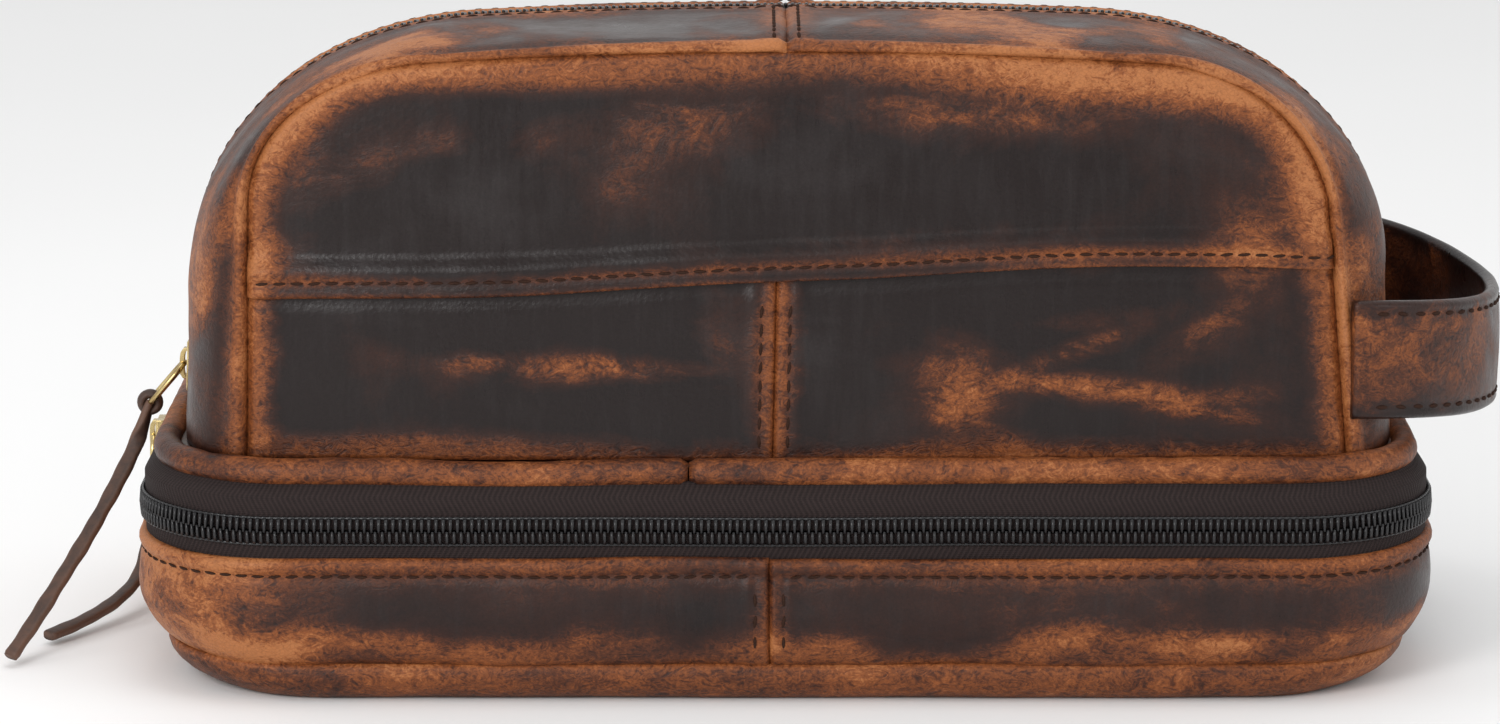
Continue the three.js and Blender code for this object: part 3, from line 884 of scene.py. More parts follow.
def panel(name, flat, height, edge, worn, face):
    """Stands a flat grid up as a front (-1) or back (1) panel."""
    x, z = flat[..., 0], flat[..., 1]
    y = face * (face_depth(x, z) + height)
    outer = np.stack([x, y, z * back_slope(y) + BAG_BOTTOM], -1)
    uneven = 0.45 * ripple(outer, 26, 3.0 + face)
    outer[..., 1] += face * (uneven + 0.9 * ripple(outer, 75, 8.0 + face) * ease(edge, 1, 14))
    inner = outer - np.array([0, face * 2.0, 0])
    return sheet(name, outer, inner, panel_leather, edge * MM, worn)


def make_panels(face, prefix, patches):
    flat = upper_grid()
    x, z = flat[..., 0], flat[..., 1]
    rim = distance_to(flat, SEAM_LINE)
    lap = z - lap_height(x)
    layered = 1.35 * (1 - ease(lap, 6.0, 9.5)) + 0.25 * hill(lap, 5.2, 1.2)
    fold = -1.2 * np.clip(1 - lap / 1.3, 0, 1) ** 2
    height = layered + fold + stitch_dent(lap - LAP_STITCH) + seam_dip(rim)
    height = height + 0.3 * hill(rim, 4.2, 2)
    edge = np.minimum(np.minimum(rim, lap * 2.2 + 2.5), np.abs(lap - 3.8) * 1.6 + 4.2)
    worn = worn_at(x, z, patches)
    made = [panel(prefix + "_upper_leather", flat, height, edge, worn, face)]
    for side, word in HAND.items():
        flat = lower_grid(side)
        x, z = flat[..., 0], flat[..., 1]
        rim = distance_to(flat, SEAM_LINE)
        centre = np.abs(x - seam_x(z))
        pressed = 0.45 * (1 - ease(centre, 4.0, 6.5))
        under = -0.5 * ease(z, lap_height(x) - 3, lap_height(x))
        height = pressed + seam_dip(rim) + seam_dip(centre, 1.1, 1.2)
        height = height + stitch_dent(centre - SEAM_STITCH, 0.22, 0.9) + under
        height += 0.3 * hill(rim, 4.2, 2)
        edge = np.minimum(np.minimum(rim, centre + 1.5), z + 3)
        worn = worn_at(x, z, patches)
        made.append(panel(f"{prefix}_lower_{word}_leather", flat, height, edge, worn, face))
    return made


front_panels = make_panels(-1, "front", FRONT_WORN)
back_panels = make_panels(1, "back", BACK_WORN)
for prefix, panels in (("front", front_panels), ("back", back_panels)):
    for made, part in zip(panels, ("upper", "lower_left", "lower_right")):
        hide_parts(f"{prefix}_{part}_panel")
print("panels:", [len(p.data.polygons) for p in front_panels])

# %% [markdown]
# ## The gussets
# One strip of leather goes up each side and over to the middle of the top, once in front of
# the zip and once behind it. At the seam with the panel it is turned in over its own
# allowance, which makes the puffed roll that outlines the whole front. At the zip its edge
# is folded under and topstitched.


# %% Gusset surface
def gusset_rows(face, side, steps):
    """Points of the bag's side between the panel's seam and mid depth, at steps in depth."""
    seam, middle = arch_of(SEAM_ARCH, side), arch_of(ZIP_ARCH, side)
    depth = face_depth(seam[:, 0], seam[:, 1])
    rows = np.zeros((len(seam), len(steps), 3))
    for j, step in enumerate(steps):
        swell_x = np.sqrt(1 - (1 - min(step / 29, 1)) ** 2)
        swell_z = np.sqrt(1 - (1 - min(step / 20, 1)) ** 2)
        share = np.stack([np.full(len(seam), swell_x), np.full(len(seam), swell_z)], -1)
        place = seam + (middle - seam) * share
        rows[:, j, 0] = place[:, 0]
        rows[:, j, 1] = face * depth * (1 - step / BAG_DEPTH)
        rows[:, j, 2] = place[:, 1] * back_slope(rows[:, j, 1]) + BAG_BOTTOM
    return rows


GUSSET_STEPS = np.concatenate([
    [0, 0.06, 0.2, 0.42, 0.75, 1.15, 1.6, 2.2, 2.9, 3.7, 4.6, 5.6, 6.8],
    np.linspace(8.2, 42, 22), [43.2, 44.2, 45.1, 45.9, 46.5, 46.95, 47.25, 47.4],
])


def gusset(name, face, side):
    base = gusset_rows(face, side, GUSSET_STEPS)
    normals = grid_normals(base, (0, 0, 90))
    from_seam = np.stack([run_length(row) for row in base])
    to_zip = from_seam[:, -1:] - from_seam
    climb = run_length(base[:, 20])
    to_top = (climb[-1] - climb)[:, None] * np.ones_like(from_seam)
    roll = 1.0 * hill(from_seam, 2.3, 1.6) - 0.45 * hill(from_seam, 6.2, 1.9)
    height = roll + seam_dip(from_seam, 2.2, 1.3)
    height += -1.3 * np.clip(1 - to_zip / 1.3, 0, 1) ** 2 + stitch_dent(to_zip - ZIP_STITCH)
    height += 0.35 * (1 - ease(to_zip, 5.5, 7.5))
    height += 0.45 * (1 - ease(to_top, 4.0, 6.0)) + seam_dip(to_top, 1.1, 1.1)
    height += stitch_dent(to_top - TOP_STITCH, 0.22, 0.9)
    uneven = 0.9 * ripple(base, 34, 11 + face + side) + 0.3 * ripple(base, 13, 5)
    height += uneven * ease(from_seam, 4, 16) * ease(to_zip, 2, 12)
    outer = base + normals * height[..., None]
    inner = base + normals * (np.minimum(height, 0.2) * 0.5 - 2.0)[..., None]
    edge = np.minimum(np.minimum(from_seam, to_zip), to_top) * MM
    worn = 0.55 * np.clip(ripple(base, 22, 2.0 * side + face) * 1.6 + 0.1, 0, 1)
    return sheet(name, outer, inner, gusset_leather, edge, worn)


gussets = {}
for face, word in ((-1, "front"), (1, "rear")):
    for side, hand in HAND.items():
        made = gusset(f"{word}_gusset_{hand}_leather", face, side)
        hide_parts(f"{word}_gusset_{hand}")
        gussets[face, side] = made
print("gusset points:", len(gussets[-1, -1].data.vertices))

# %% [markdown]
# ## The tray
# The tray is a base turned up at its edge, and two walls sewn to it, joined in the middle of
# the front and of the back. They round under towards the base, and their top edge is folded
# in and topstitched. Seen from above, the outline is a rectangle with wide round corners.

# %% The tray's outline
HALF_LENGTH, HALF_DEPTH, TRAY_CORNER = 134.0, 66.0, 32.0
UNDERCUT_SIDE, UNDERCUT_FRONT, UNDERCUT_HEIGHT = 12.0, 4.0, 22.0
ZIP_HEIGHT, PIPING_BOTTOM, PIPING_RADIUS = 36.3, 44.5, 3.0


def plan_line(inset=0.0, step=0.5):
    """The outline from above, from the front middle round by the left, and closed."""
    x, y, r = HALF_LENGTH - inset, HALF_DEPTH - inset, TRAY_CORNER - inset
    points = [np.array([[0.0, -y]])]
    corners = (r - x, r - y, 270), (r - x, y - r, 180), (x - r, y - r, 90), (x - r, r - y, 0)
    for cx, cy, start in corners:
        angle = np.radians(np.linspace(start, start - 90, 40))
        points.append(np.stack([cx + r * np.cos(angle), cy + r * np.sin(angle)], -1))
    points.append(np.array([[0.0, -y]]))
    line = np.concatenate(points)
    length = run_length(line)
    at = np.linspace(0, length[-1], int(length[-1] / step))
    return sample(line, length, at)


TRAY_LINE = plan_line()
TRAY_LENGTH = float(run_length(TRAY_LINE)[-1])


def stretch_of(line, start, end, count, spread=0.0):
    """A stretch of a closed line between two shares of its length, which may pass its start."""
    twice = np.concatenate([line, line[1:]])
    length = run_length(twice)
    at = (start + (end - start) * crowd(count, spread)) * run_length(line)[-1]
    return sample(twice, length, at)


def side_normals(line):
    """Level normals of a plan line, pointing away from the tray."""
    tangent = unit(np.gradient(line, axis=0))
    normals = np.stack([-tangent[:, 1], tangent[:, 0]], -1)
    return normals if np.mean(np.sum(normals * line, -1)) > 0 else -normals


def band_points(line, heights, out):
    """A wall on a plan line; out is how far each point stands outside it."""
    normals = side_normals(line)
    grid = np.zeros((len(line), out.shape[1], 3))
    for j in range(out.shape[1]):
        z = heights[:, j] if heights.ndim == 2 else np.full(len(line), heights[j])
        share = np.clip(1 - z / UNDERCUT_HEIGHT, 0, 1)[:, None] ** 2
        place = line * (1 - share * [UNDERCUT_SIDE / HALF_LENGTH, UNDERCUT_FRONT / HALF_DEPTH])
        grid[:, j, :2] = place + normals * out[:, j: j + 1]
        grid[:, j, 2] = z
    return grid


# %% The walls
FRONT_SEAM_X = -3.5
FRONT_SHARE = -FRONT_SEAM_X / TRAY_LENGTH
WALL_STITCH_HEIGHT = 26.9


def tray_wall(name, start, end, seed):
    line = stretch_of(TRAY_LINE, start, end, 230, 0.9)
    along = run_length(line)
    to_seam = np.minimum(along, along[-1] - along)[:, None]
    heights = np.concatenate([
        [7.0, 7.7, 8.3, 9.0, 10.0], np.linspace(11.3, 25, 11),
        [25.8, 26.4, 26.9, 27.4, 28, 28.8, 29.5, 30.1, 30.5, 30.7],
    ])
    z = heights[None] * np.ones_like(to_seam)
    out = 0.7 * np.sin(np.pi * np.clip((z - 8) / 19, 0, 1)) + seam_dip(z - 7.3, 1.3, 2.6)
    out += stitch_dent(z - WALL_STITCH_HEIGHT, 0.4, 0.9) + 0.55 * ease(z, 27.2, 28.6)
    out += -1.5 * np.clip(1 - (30.9 - z) / 1.3, 0, 1) ** 2
    out += 0.4 * (1 - ease(to_seam, 4, 6)) + seam_dip(to_seam, 1.2, 1.2)
    out += stitch_dent(to_seam - SEAM_STITCH, 0.22, 0.9)
    flat = band_points(line, heights, out)
    out = out + (0.6 * ripple(flat, 30, seed) + 0.2 * ripple(flat, 9, seed)) * ease(to_seam, 2, 8)
    outer = band_points(line, heights, out)
    rim = np.repeat(flat[:, :1] * [1, 1, 0], len(heights), axis=1)
    outer[..., 2] += 0.5 * ripple(rim, 42, seed + 4) * ease(z, 12, 26)
    outer[..., 2] -= 0.5 * ripple(rim, 28, seed + 9) * (1 - ease(z, 9, 14))
    inner = band_points(line, heights, np.clip(np.minimum(out, 0.2) - 2.1, -2.35, None))
    inner[..., 2] = outer[..., 2]
    edge = np.minimum(np.minimum(z - 6.5, (31 - z) * 0.8), to_seam + 1.5) * MM
    far_left = hill(outer[..., 0], -126, 20)
    rubbed = hill(z, 13 + 3 * ripple(rim, 24, seed + 2), 3.0)
    rubbed = rubbed * np.clip(ripple(rim, 30, seed) + 0.35, 0, 1)
    worn = np.clip(0.8 * far_left + 0.85 * rubbed, 0, 1)
    return sheet(name, outer, inner, tray_leather, edge, worn)


walls = [
    tray_wall("tray_wall_left_leather", FRONT_SHARE, 0.5, 3.0),
    tray_wall("tray_wall_right_leather", 0.5, 1 + FRONT_SHARE, 6.0),
]
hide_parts("tray_wall_left")
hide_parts("tray_wall_right")
print("tray wall:", round(TRAY_LENGTH), "mm round")

# %% [markdown]
# ## The base, the floors and the piping
# The base leather lies flat below and rolls up round the tray's foot. The floor between tray
# and bag is a flat sheet whose edge shows as a narrow ledge. Between floor and tray zip runs
# the piping: leather wrapped round a cord, a little uneven where it was pulled round the
# corners, with its two ends butted together at the front, left of the middle.


# %% Round sheets, from a pole in the middle out to a profile at the edge
def dish(name, line, profile, inner, material):
    """profile and inner hold pairs of distance outside the line and height."""
    ring_line = line[:-1]
    shares = np.array([0, 0.25, 0.5, 0.7, 0.85, 0.95])
    grids = []
    for pairs in (profile, inner):
        outs = np.array([p[0] for p in pairs])[None] * np.ones((len(ring_line), 1))
        edge_part = band_points(ring_line, np.array([p[1] for p in pairs], float), outs)
        first = edge_part[:, :1]
        middle = first * shares[None, :, None]
        middle[..., 2] = first[..., 2]
        grids.append(np.concatenate([middle, edge_part], axis=1))
    outer = grids[0]
    soft = 0.25 * ripple(outer, 22, len(name))[..., None] * grid_normals(outer, (0, 0, 40), ring=True)
    outer[:, len(shares):] += soft[:, len(shares):]
    outer[..., 2] = np.maximum(outer[..., 2], 0.0)
    edge = np.full(outer.shape[:2], 0.02)
    edge[:, -4:] = [0.006, 0.004, 0.002, 0.0]
    worn = np.clip(ripple(outer, 26, 4.0) + 0.3, 0, 1) * 0.5
    return sheet(name, outer, grids[1], material, edge, worn, ring=True)


BASE_PROFILE = [
    (-6, 0.0), (-3.5, 0.0), (-1.6, 0.35), (-0.3, 1.3), (0.7, 2.8), (1.0, 4.4),
    (0.8, 5.9), (0.2, 7.2), (-0.6, 8.0), (-1.5, 8.3), (-2.1, 8.1),
]
BASE_INNER = [
    (-6, 1.9), (-4.2, 1.95), (-3.4, 2.1), (-2.6, 2.5), (-1.8, 3.2), (-1.3, 4.4),
    (-1.3, 5.6), (-1.8, 6.6), (-2.2, 7.2), (-2.4, 7.6), (-2.5, 7.8),
]
outline = stretch_of(TRAY_LINE, 0, 1, 300)
base = dish("base_leather_dish", outline, BASE_PROFILE, BASE_INNER, base_leather)
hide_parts("base_panel")
tray_cloth = dish(
    "tray_lining_cloth", outline,
    [(-8, 4.3), (-4, 4.3), (-3.0, 4.9), (-2.5, 6),
     (-2.4, 12), (-2.4, 22), (-2.4, 29.6), (-2.5, 30.2)],
    [(-8, 5.1), (-5, 5.1), (-3.9, 5.7), (-3.3, 6.5),
     (-3.2, 12), (-3.2, 22), (-3.2, 29.6), (-3.1, 30.1)],
    lining_cotton,
)
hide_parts("tray_lining")
FLOOR_LINE = stretch_of(plan_line(8.0), 0, 1, 300)
lid_leather = dish(
    "lid_floor_leather", FLOOR_LINE,
    [(-14, 48.5), (-6, 48.5), (-1, 48.55), (-0.2, 48.3), (0.1, 47.9)],
    [(-14, 46.75), (-6, 46.75), (-1, 46.75), (-0.2, 46.9), (0.05, 47.2)], tray_leather,
)
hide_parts("lid_floor")
lid_cloth = dish(
    "lid_lining_cloth", outline,
    [(-24, 46.2), (-13, 46.2), (-10.5, 46.0), (-8.6, 44.5),
     (-6, 43.9), (-4, 43.7), (-2.7, 43.1), (-2.3, 42)],
    [(-24, 45.5), (-13, 45.5), (-10.8, 45.2), (-8.7, 43.7),
     (-6, 43.2), (-4, 43.0), (-3.4, 42.5), (-3.1, 42)],
    lining_cotton,
)
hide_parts("lid_lining")


# %% The piping
def tube(name, line, radius, material, worn):
    """A round tube along a line; radius has a row for each point of the line."""
    forward = unit(np.gradient(line, axis=0))
    across = unit(np.cross(forward, [0, 0, 1.0]))
    up = np.cross(across, forward)
    angle = np.linspace(0, 2 * np.pi, radius.shape[1], endpoint=False)[None, :, None]
    spin = across[:, None] * np.cos(angle) + up[:, None] * np.sin(angle)
    points = line[:, None] + spin * radius[:, :, None]
    faces = tube_faces(*radius.shape)
    edge = np.full(radius.size, 0.03)
    return turn_outwards(piece_from(name, points.reshape(-1, 3), faces, material, edge, worn))


PIPING_JOINT, PIPING_SIDES = 20.0, 18
inset_line = plan_line(6.0)
share = PIPING_JOINT / run_length(inset_line)[-1]
plan = stretch_of(inset_line, share, 1 + share - 0.0004, 420)
height = PIPING_BOTTOM + PIPING_RADIUS + 0.35 * ripple(level(plan), 46, 2.0)
height += -1.1 * hill(plan[:, 0], -58, 22) * (plan[:, 1] < 0)
piping_line = level(plan, height)
along = run_length(piping_line)
to_end = np.minimum(along, along[-1] - along)
angle = np.linspace(0, 2 * np.pi, PIPING_SIDES, endpoint=False)
lumps = 0.16 * ripple(piping_line, 7, 5.0)[:, None] * (1 + 0.6 * np.cos(angle - 0.8))[None]
wrap = 0.12 * np.sin(3 * angle[None] + along[:, None] * 0.05)
closing = 0.9 * (np.clip(1 - to_end / 0.9, 0, 1) ** 2)[:, None]
radius = PIPING_RADIUS - 0.12 + lumps + wrap * 0.6 - closing
rubbed = np.clip(0.45 + 0.6 * ripple(piping_line, 24, 9.0), 0, 1)[:, None]
rubbed = rubbed * np.ones_like(radius)
piping = tube("piping_leather_tube", piping_line, radius, piping_leather, rubbed.ravel())
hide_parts("piping")
print("piping:", round(float(along[-1])), "mm")

# %% [markdown]
# ## The hinge at the back
# Across the back a plain strip of leather takes the place of the zip and is the hinge
# between tray and bag. It is one piece that bends, so it follows the tray below and the bag
# above, with a soft crease at half height.

# %% Hinge strip
x = np.linspace(-94.7, 94.7, 120)[:, None]
z = np.concatenate([[29.6, 29.8, 30.1], np.linspace(30.8, 43.6, 26), [44.1, 44.5, 44.7]])[None]
HINGE_CREASE, HINGE_STITCHES = 36.6, {"lower": 33.0, "upper": 41.6}
bend = 0.55 * np.sin(np.pi * (z - 29.6) / 15.1) - 0.35 * hill(z, HINGE_CREASE, 0.9)
for stitch_height in HINGE_STITCHES.values():
    bend = bend + stitch_dent(z - stitch_height, 0.25)
grid = np.stack([x + 0 * z, 66.1 + bend + 0 * x, z + 0 * x], -1)
turned_end = np.clip(1 - (94.9 - np.abs(x)) / 1.5, 0, 1) ** 2
grid[..., 1] += 0.25 * ripple(grid, 14, 8.0) - 0.8 * turned_end
hinge = sheet(
    "hinge_strip_leather", grid, grid - [0, 2.0, 0], tray_leather,
    np.minimum(np.minimum(z - 29.4, 45 - z), 95.5 - np.abs(x)) * MM,
    0.7 * hill(z, HINGE_CREASE, 1.5) + 0 * x,
)
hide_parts("hinge_strip_lower", "hinge_strip_upper")

# %% [markdown]
# ## The linings
# Inside the bag a cotton lining follows the panel and the side leather, cut like them, and
# stands a little inside them. Each half is one grid: a fan that fills the arch, and then the
# strip that runs from the seam towards the zip.


# %% Bag linings
def bag_lining(name, face):
    seam, middle = SEAM_LINE, ZIP_LINE
    centre = np.array([0.0, 1.0])
    shrink = lambda line, by: line - unit(line - [0, 30]) * by
    seam_in, middle_in = shrink(seam, 3.6), shrink(middle, 3.4)
    rows = []
    for share in (0, 0.25, 0.5, 0.75, 0.9, 1.0):
        x, z = (centre + (seam_in - centre) * share).T
        rows.append(np.stack([x, face * (face_depth(x, z) - 4.2), z], -1))
    depth = face_depth(seam[:, 0], seam[:, 1]) - 4.2
    matched = sample(middle_in, np.linspace(0, 1, len(middle)), np.linspace(0, 1, len(seam)))
    for step in np.linspace(0.03, 0.84, 12):
        swell = np.sqrt(1 - (1 - min(step * 50 / 26, 1)) ** 2)
        place = seam_in + (matched - seam_in) * swell
        rows.append(np.stack([place[:, 0], face * depth * (1 - step), place[:, 1]], -1))
    grid = np.stack(rows, 1)
    grid[..., 2] = np.maximum(grid[..., 2], 2.8) * back_slope(grid[..., 1]) + BAG_BOTTOM
    inward = -unit(grid - [0, 0, 85])
    return sheet(name, grid, grid + inward * 0.8, lining_cotton, np.full(grid.shape[:2], 0.02))


linings = {-1: bag_lining("front_lining_cloth", -1), 1: bag_lining("rear_lining_cloth", 1)}
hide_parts("front_lining")
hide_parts("rear_lining")
low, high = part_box("floor_lining")
half_x, half_y = high[0] / MM, high[1] / MM
corner = 23.0
angle = np.radians(np.linspace(0, 90, 12))
quarter = corner * np.stack([np.cos(angle), np.sin(angle)], -1)
quarter = quarter + [half_x - corner, half_y - corner]
floor_round = np.concatenate([
    quarter, (quarter * [-1, 1])[::-1], quarter * [-1, -1], (quarter * [1, -1])[::-1], quarter[:1],
])
floor_round = stretch_of(floor_round, 0, 1, 200)
rows, floor_z = (0, 0.4, 0.7, 0.9, 0.985, 1.0), np.array([0, 0, 0, 0, -0.05, -0.35])
floor_grid = np.stack([np.append(floor_round[:-1] * s, np.zeros((199, 1)), 1) for s in rows], 1)
floor_top = floor_grid + np.stack([0 * floor_z, 0 * floor_z, floor_z + high[2] / MM], -1)
floor_bottom = floor_grid + [0, 0, low[2] / MM]
floor_cloth = sheet("floor_lining_cloth", floor_top, floor_bottom, lining_cotton,
                    np.full(floor_top.shape[:2], 0.02), ring=True)
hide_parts("floor_lining")
dress(("base_board", "floor_board"), stiffener_board)

# %% [markdown]
# ## The zips
# A coil zip is two tapes, each with a nylon coil sewn to its edge, whose loops interlock.
# One loop is modelled with edit tools, and copied along both edges of each zip, the
# two sides half a step apart. Each tape is a thin sheet with its own UV map in metres, so
# the herringbone of its cloth follows the zip round every bend.


# %% Modelling: pick parts by place, then use edit tools
def add(kind, name, **settings):
    """A primitive at its size and place, in millimetres on a bench at the origin."""
    bpy.ops.object.select_all(action="DESELECT")
    getattr(bpy.ops.mesh, f"primitive_{kind}_add")(**settings)
    made = bpy.context.object
    made.name = name
    bpy.ops.object.transform_apply(location=True, rotation=True, scale=True)
    return made


def pick(made, test, kind="FACE"):
    """Opens the piece in edit mode with the parts selected whose middle passes the test."""
    bpy.context.view_layer.objects.active = made
    bpy.ops.object.mode_set(mode="EDIT")
    bpy.ops.mesh.select_mode(type=kind)
    bpy.ops.mesh.select_all(action="DESELECT")
    work = bmesh.from_edit_mesh(made.data)
    parts = {"FACE": work.faces, "EDGE": work.edges, "VERT": work.verts}[kind]
    for part in parts:
        corners = [part] if kind == "VERT" else part.verts
        middle = sum((v.co for v in corners), Vector()) / len(corners)
        if test(middle):
            part.select_set(True)
    bmesh.update_edit_mesh(made.data)


def done(made, smooth=35):
    bpy.ops.object.mode_set(mode="OBJECT")
    bpy.ops.object.select_all(action="DESELECT")
    made.select_set(True)
    bpy.context.view_layer.objects.active = made
    bpy.ops.object.shade_smooth_by_angle(angle=math.radians(smooth))
    return made


def take_apart(made):
    """The points and faces of a finished model, whose object is then removed."""
    points = np.array([v.co for v in made.data.vertices])
    faces = [tuple(p.vertices) for p in made.data.polygons]
    bpy.data.objects.remove(made)
    return points, faces


def repeat(name, model, places, axes, material):
    """Copies of one small model: axes hold each copy's own x, y and z directions."""
    points, faces = model
    copies = places[:, None] + np.einsum("nij,kj->nki", axes, points)
    count = len(points)
    all_faces = [tuple(i * count + v for v in f) for i in range(len(places)) for f in faces]
    return piece_from(name, copies.reshape(-1, 3), all_faces, material)


# %% One loop of the coil: across the tape in x, along it in y, and outwards in z
loop = add("cube", "coil_loop", size=1, location=(-0.15, 0, 0), scale=(2.7, 0.88, 1.3))
pick(loop, lambda m: abs(m.x + 0.15) < 0.1 and abs(m.y) > 0.4 and abs(m.z) > 0.5, "EDGE")
bpy.ops.mesh.bevel(offset=0.34, segments=2, affect="EDGES")
done(loop)
pick(loop, lambda m: m.x > 1.1, "VERT")
bpy.ops.transform.resize(value=(1, 0.62, 0.72))
done(loop)
pick(loop, lambda m: m.x < -1.4, "VERT")
bpy.ops.transform.resize(value=(1, 0.9, 0.6))
bpy.ops.transform.translate(value=(0, 0, -0.15))
done(loop, 50)
COIL_LOOP = take_apart(loop)
print("one loop:", len(COIL_LOOP[1]), "faces")
PITCH = 1.45


def coil(name, line, outward, side, shift, sink):
    """A row of loops sunk below a line; side turns their tips towards the middle."""
    length = run_length(line)
    at = np.arange(0.8 + shift * PITCH, length[-1] - 0.6, PITCH)
    pick_at = lambda values: sample(values, length, at)
    forward = unit(pick_at(np.gradient(line, axis=0)))
    up = unit(pick_at(outward))
    across = unit(np.cross(forward, up)) * side
    up = np.cross(across, forward) * side
    places = pick_at(line) - across * 1.1 - unit(pick_at(outward)) * sink
    lean = forward + across * 0.10
    axes = np.stack([across, unit(lean), np.cross(across, unit(lean))], -1)
    flip = np.sign(np.sum(axes[..., 2] * up, -1))[:, None]
    axes[..., 1] *= flip
    axes[..., 2] *= flip
    return repeat(name, COIL_LOOP, places, axes, nylon_coil)


def tape(name, line, outward, width_way, near, far, sink, tuck=0.0):
    """A tape from near to far beside a line, sunk below its surface; tuck turns its far edge in."""
    turn = 0.4 * np.sign(far - near)
    steps = [near, near + 0.4, *np.linspace(near, far, 7)[1:-1], far - turn, far]
    steps = np.array(sorted(steps, key=abs))
    length = run_length(line)
    below = sink + tuck * ease(np.abs(steps), abs(far) - 3, abs(far))
    grid = line[:, None] + width_way[:, None] * steps[None, :, None]
    grid = grid - outward[:, None] * below[None, :, None]
    soft = 0.18 * ripple(grid, 16, len(name)) * np.clip(np.abs(steps)[None] / 2 - 0.8, 0, 1)
    grid = grid + outward[:, None] * soft[..., None]
    uv = np.stack(np.broadcast_arrays(length[:, None] * MM, steps[None] * MM), -1)
    edge = np.full(grid.shape[:2], 0.02)
    return sheet(name, grid, grid - outward[:, None] * 0.8, zip_tape, edge, uv=uv)


def sewing_line(name, line, outward, width_way, away, sink):
    """The cord that holds a coil to its tape, one small lump for every loop."""
    length = run_length(line)
    at = np.arange(0, length[-1], PITCH / 4)
    pick_at = lambda values: sample(values, length, at)
    middle = pick_at(line) + pick_at(width_way) * away - unit(pick_at(outward)) * sink
    lump = 0.30 + 0.08 * np.sin(2 * np.pi * at / PITCH)
    forward = unit(np.gradient(middle, axis=0))
    side = unit(pick_at(width_way))
    up = np.cross(forward, side)
    angle = np.linspace(0, 2 * np.pi, SEWING_SIDES, endpoint=False)[None, :, None]
    ring = side[:, None] * np.cos(angle) + up[:, None] * np.sin(angle)
    points = middle[:, None] + ring * lump[:, None, None]
    faces = tube_faces(len(middle), SEWING_SIDES)
    return turn_outwards(piece_from(name, points.reshape(-1, 3), faces, nylon_coil))


SEWING_SIDES, SEWING_AWAY, TAPE_NEAR = 6, 2.75, 0.2


def zip_side(word, line, outward, width_way, way, tip, shift, far, sinks, tuck=0.0):
    """A tape with its coil and its sewing; way says which side of the zip it is on."""
    tape_sink, coil_sink, sewing_sink = sinks
    tape_node, coil_node = word + "_zip_tape", word + "_zip_coil"
    cloth = tape(
        tape_node + "_cloth", line, outward, width_way, way * TAPE_NEAR, far, tape_sink, tuck
    )
    teeth = coil(coil_node + "_loops", line, outward, tip, shift, coil_sink)
    cords = sewing_line(
        coil_node + "_sewing", line, outward, width_way, way * SEWING_AWAY, sewing_sink
    )
    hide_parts(coil_node)
    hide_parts(tape_node)
    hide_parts(coil_node)
    return [cloth, teeth, cords]


# %% The tray's zip
back_left = np.argmin(np.abs(TRAY_LINE[:, 0] + 95.3) + 1e3 * (TRAY_LINE[:, 1] < HALF_DEPTH - 0.01))
hinge_share = float(run_length(TRAY_LINE)[back_left] / TRAY_LENGTH)
tray_plan = stretch_of(TRAY_LINE, 1 - hinge_share, 1 + hinge_share, 420)
tray_out = level(side_normals(tray_plan))
up = np.tile([0, 0, 1.0], (len(tray_plan), 1))
tray_zip = level(tray_plan, ZIP_HEIGHT + 0.25 * ripple(level(tray_plan), 60, 1.0))
tray_place = tray_zip, tray_out, up
TRAY_SINKS = 1.2, 0.35, 0.75
tray_zip_pieces = zip_side("tray", *tray_place, -1, 1, 0.0, -6.4, TRAY_SINKS)
lid_zip_pieces = zip_side("lid", *tray_place, 1, -1, 0.5, 9.6, TRAY_SINKS, 3.2)

# %% The top zip
top_plan = resample(ZIP_LINE, 420)
top_plan = top_plan[top_plan[:, 1] > 2.4]
top_zip = upright(top_plan + [0, BAG_BOTTOM])
top_out = upright(side_normals(top_plan - [0, 30]))
rearward = np.tile([0, 1.0, 0], (len(top_zip), 1))
direction = np.sign(np.cross(top_zip[1] - top_zip[0], top_out[0])[1])
top_place = top_zip, top_out, rearward
TOP_SINKS = 1.7, 0.7, 1.7
front_zip_pieces = zip_side("front", *top_place, -1, direction, 0.0, -8.6, TOP_SINKS)
rear_zip_pieces = zip_side("rear", *top_place, 1, -direction, 0.5, 8.6, TOP_SINKS)
print("loops in the top zip:", len(front_zip_pieces[1].data.polygons) // len(COIL_LOOP[1]))

# %% [markdown]
# ## The handle
# One strap, two layers of leather sewn together, starts in the front seam on the right,
# stands away from the bag's side and goes back in at the rear seam. It sags a little in the
# middle. Its edges are rounded and a row of stitches runs close to each.

# %% Handle strap
STRAP_WIDTH, STRAP_THICKNESS, STRAP_MIDDLE, STRAP_DROP = 24.5, 3.0, 69.5, 5.5
STRAP_STITCH, STRAP_PITCH = 2.6, 4.2
t = np.linspace(0, 1, 50)[:, None]
bend = [np.array(p, float) for p in ((114.5, -53.2), (134, -49), (148, -27), (148, 0))]
half = bezier(t, *bend)
strap_plan = np.concatenate([half, (half[::-1] * [1, -1])[1:]])
strap_out = side_normals(strap_plan)
strap_out *= np.sign(strap_out[len(strap_out) // 2, 0])
sag = STRAP_MIDDLE - STRAP_DROP * (1 - np.clip(np.abs(strap_plan[:, 1]) / 53, 0, 1) ** 2)
rounded = np.array([0.85, 0.91, 0.955, 0.985, 1])
across = np.concatenate([-rounded[::-1], np.linspace(-0.78, 0.78, 15), rounded])
from_edge = (1 - np.abs(across)) * STRAP_WIDTH / 2
rounding = 1.15 * np.clip(1 - from_edge / 1.0, 0, 1) ** 2
crown = 0.25 * (1 - across**2) + stitch_dent(from_edge - STRAP_STITCH, 0.35, 0.8) - rounding
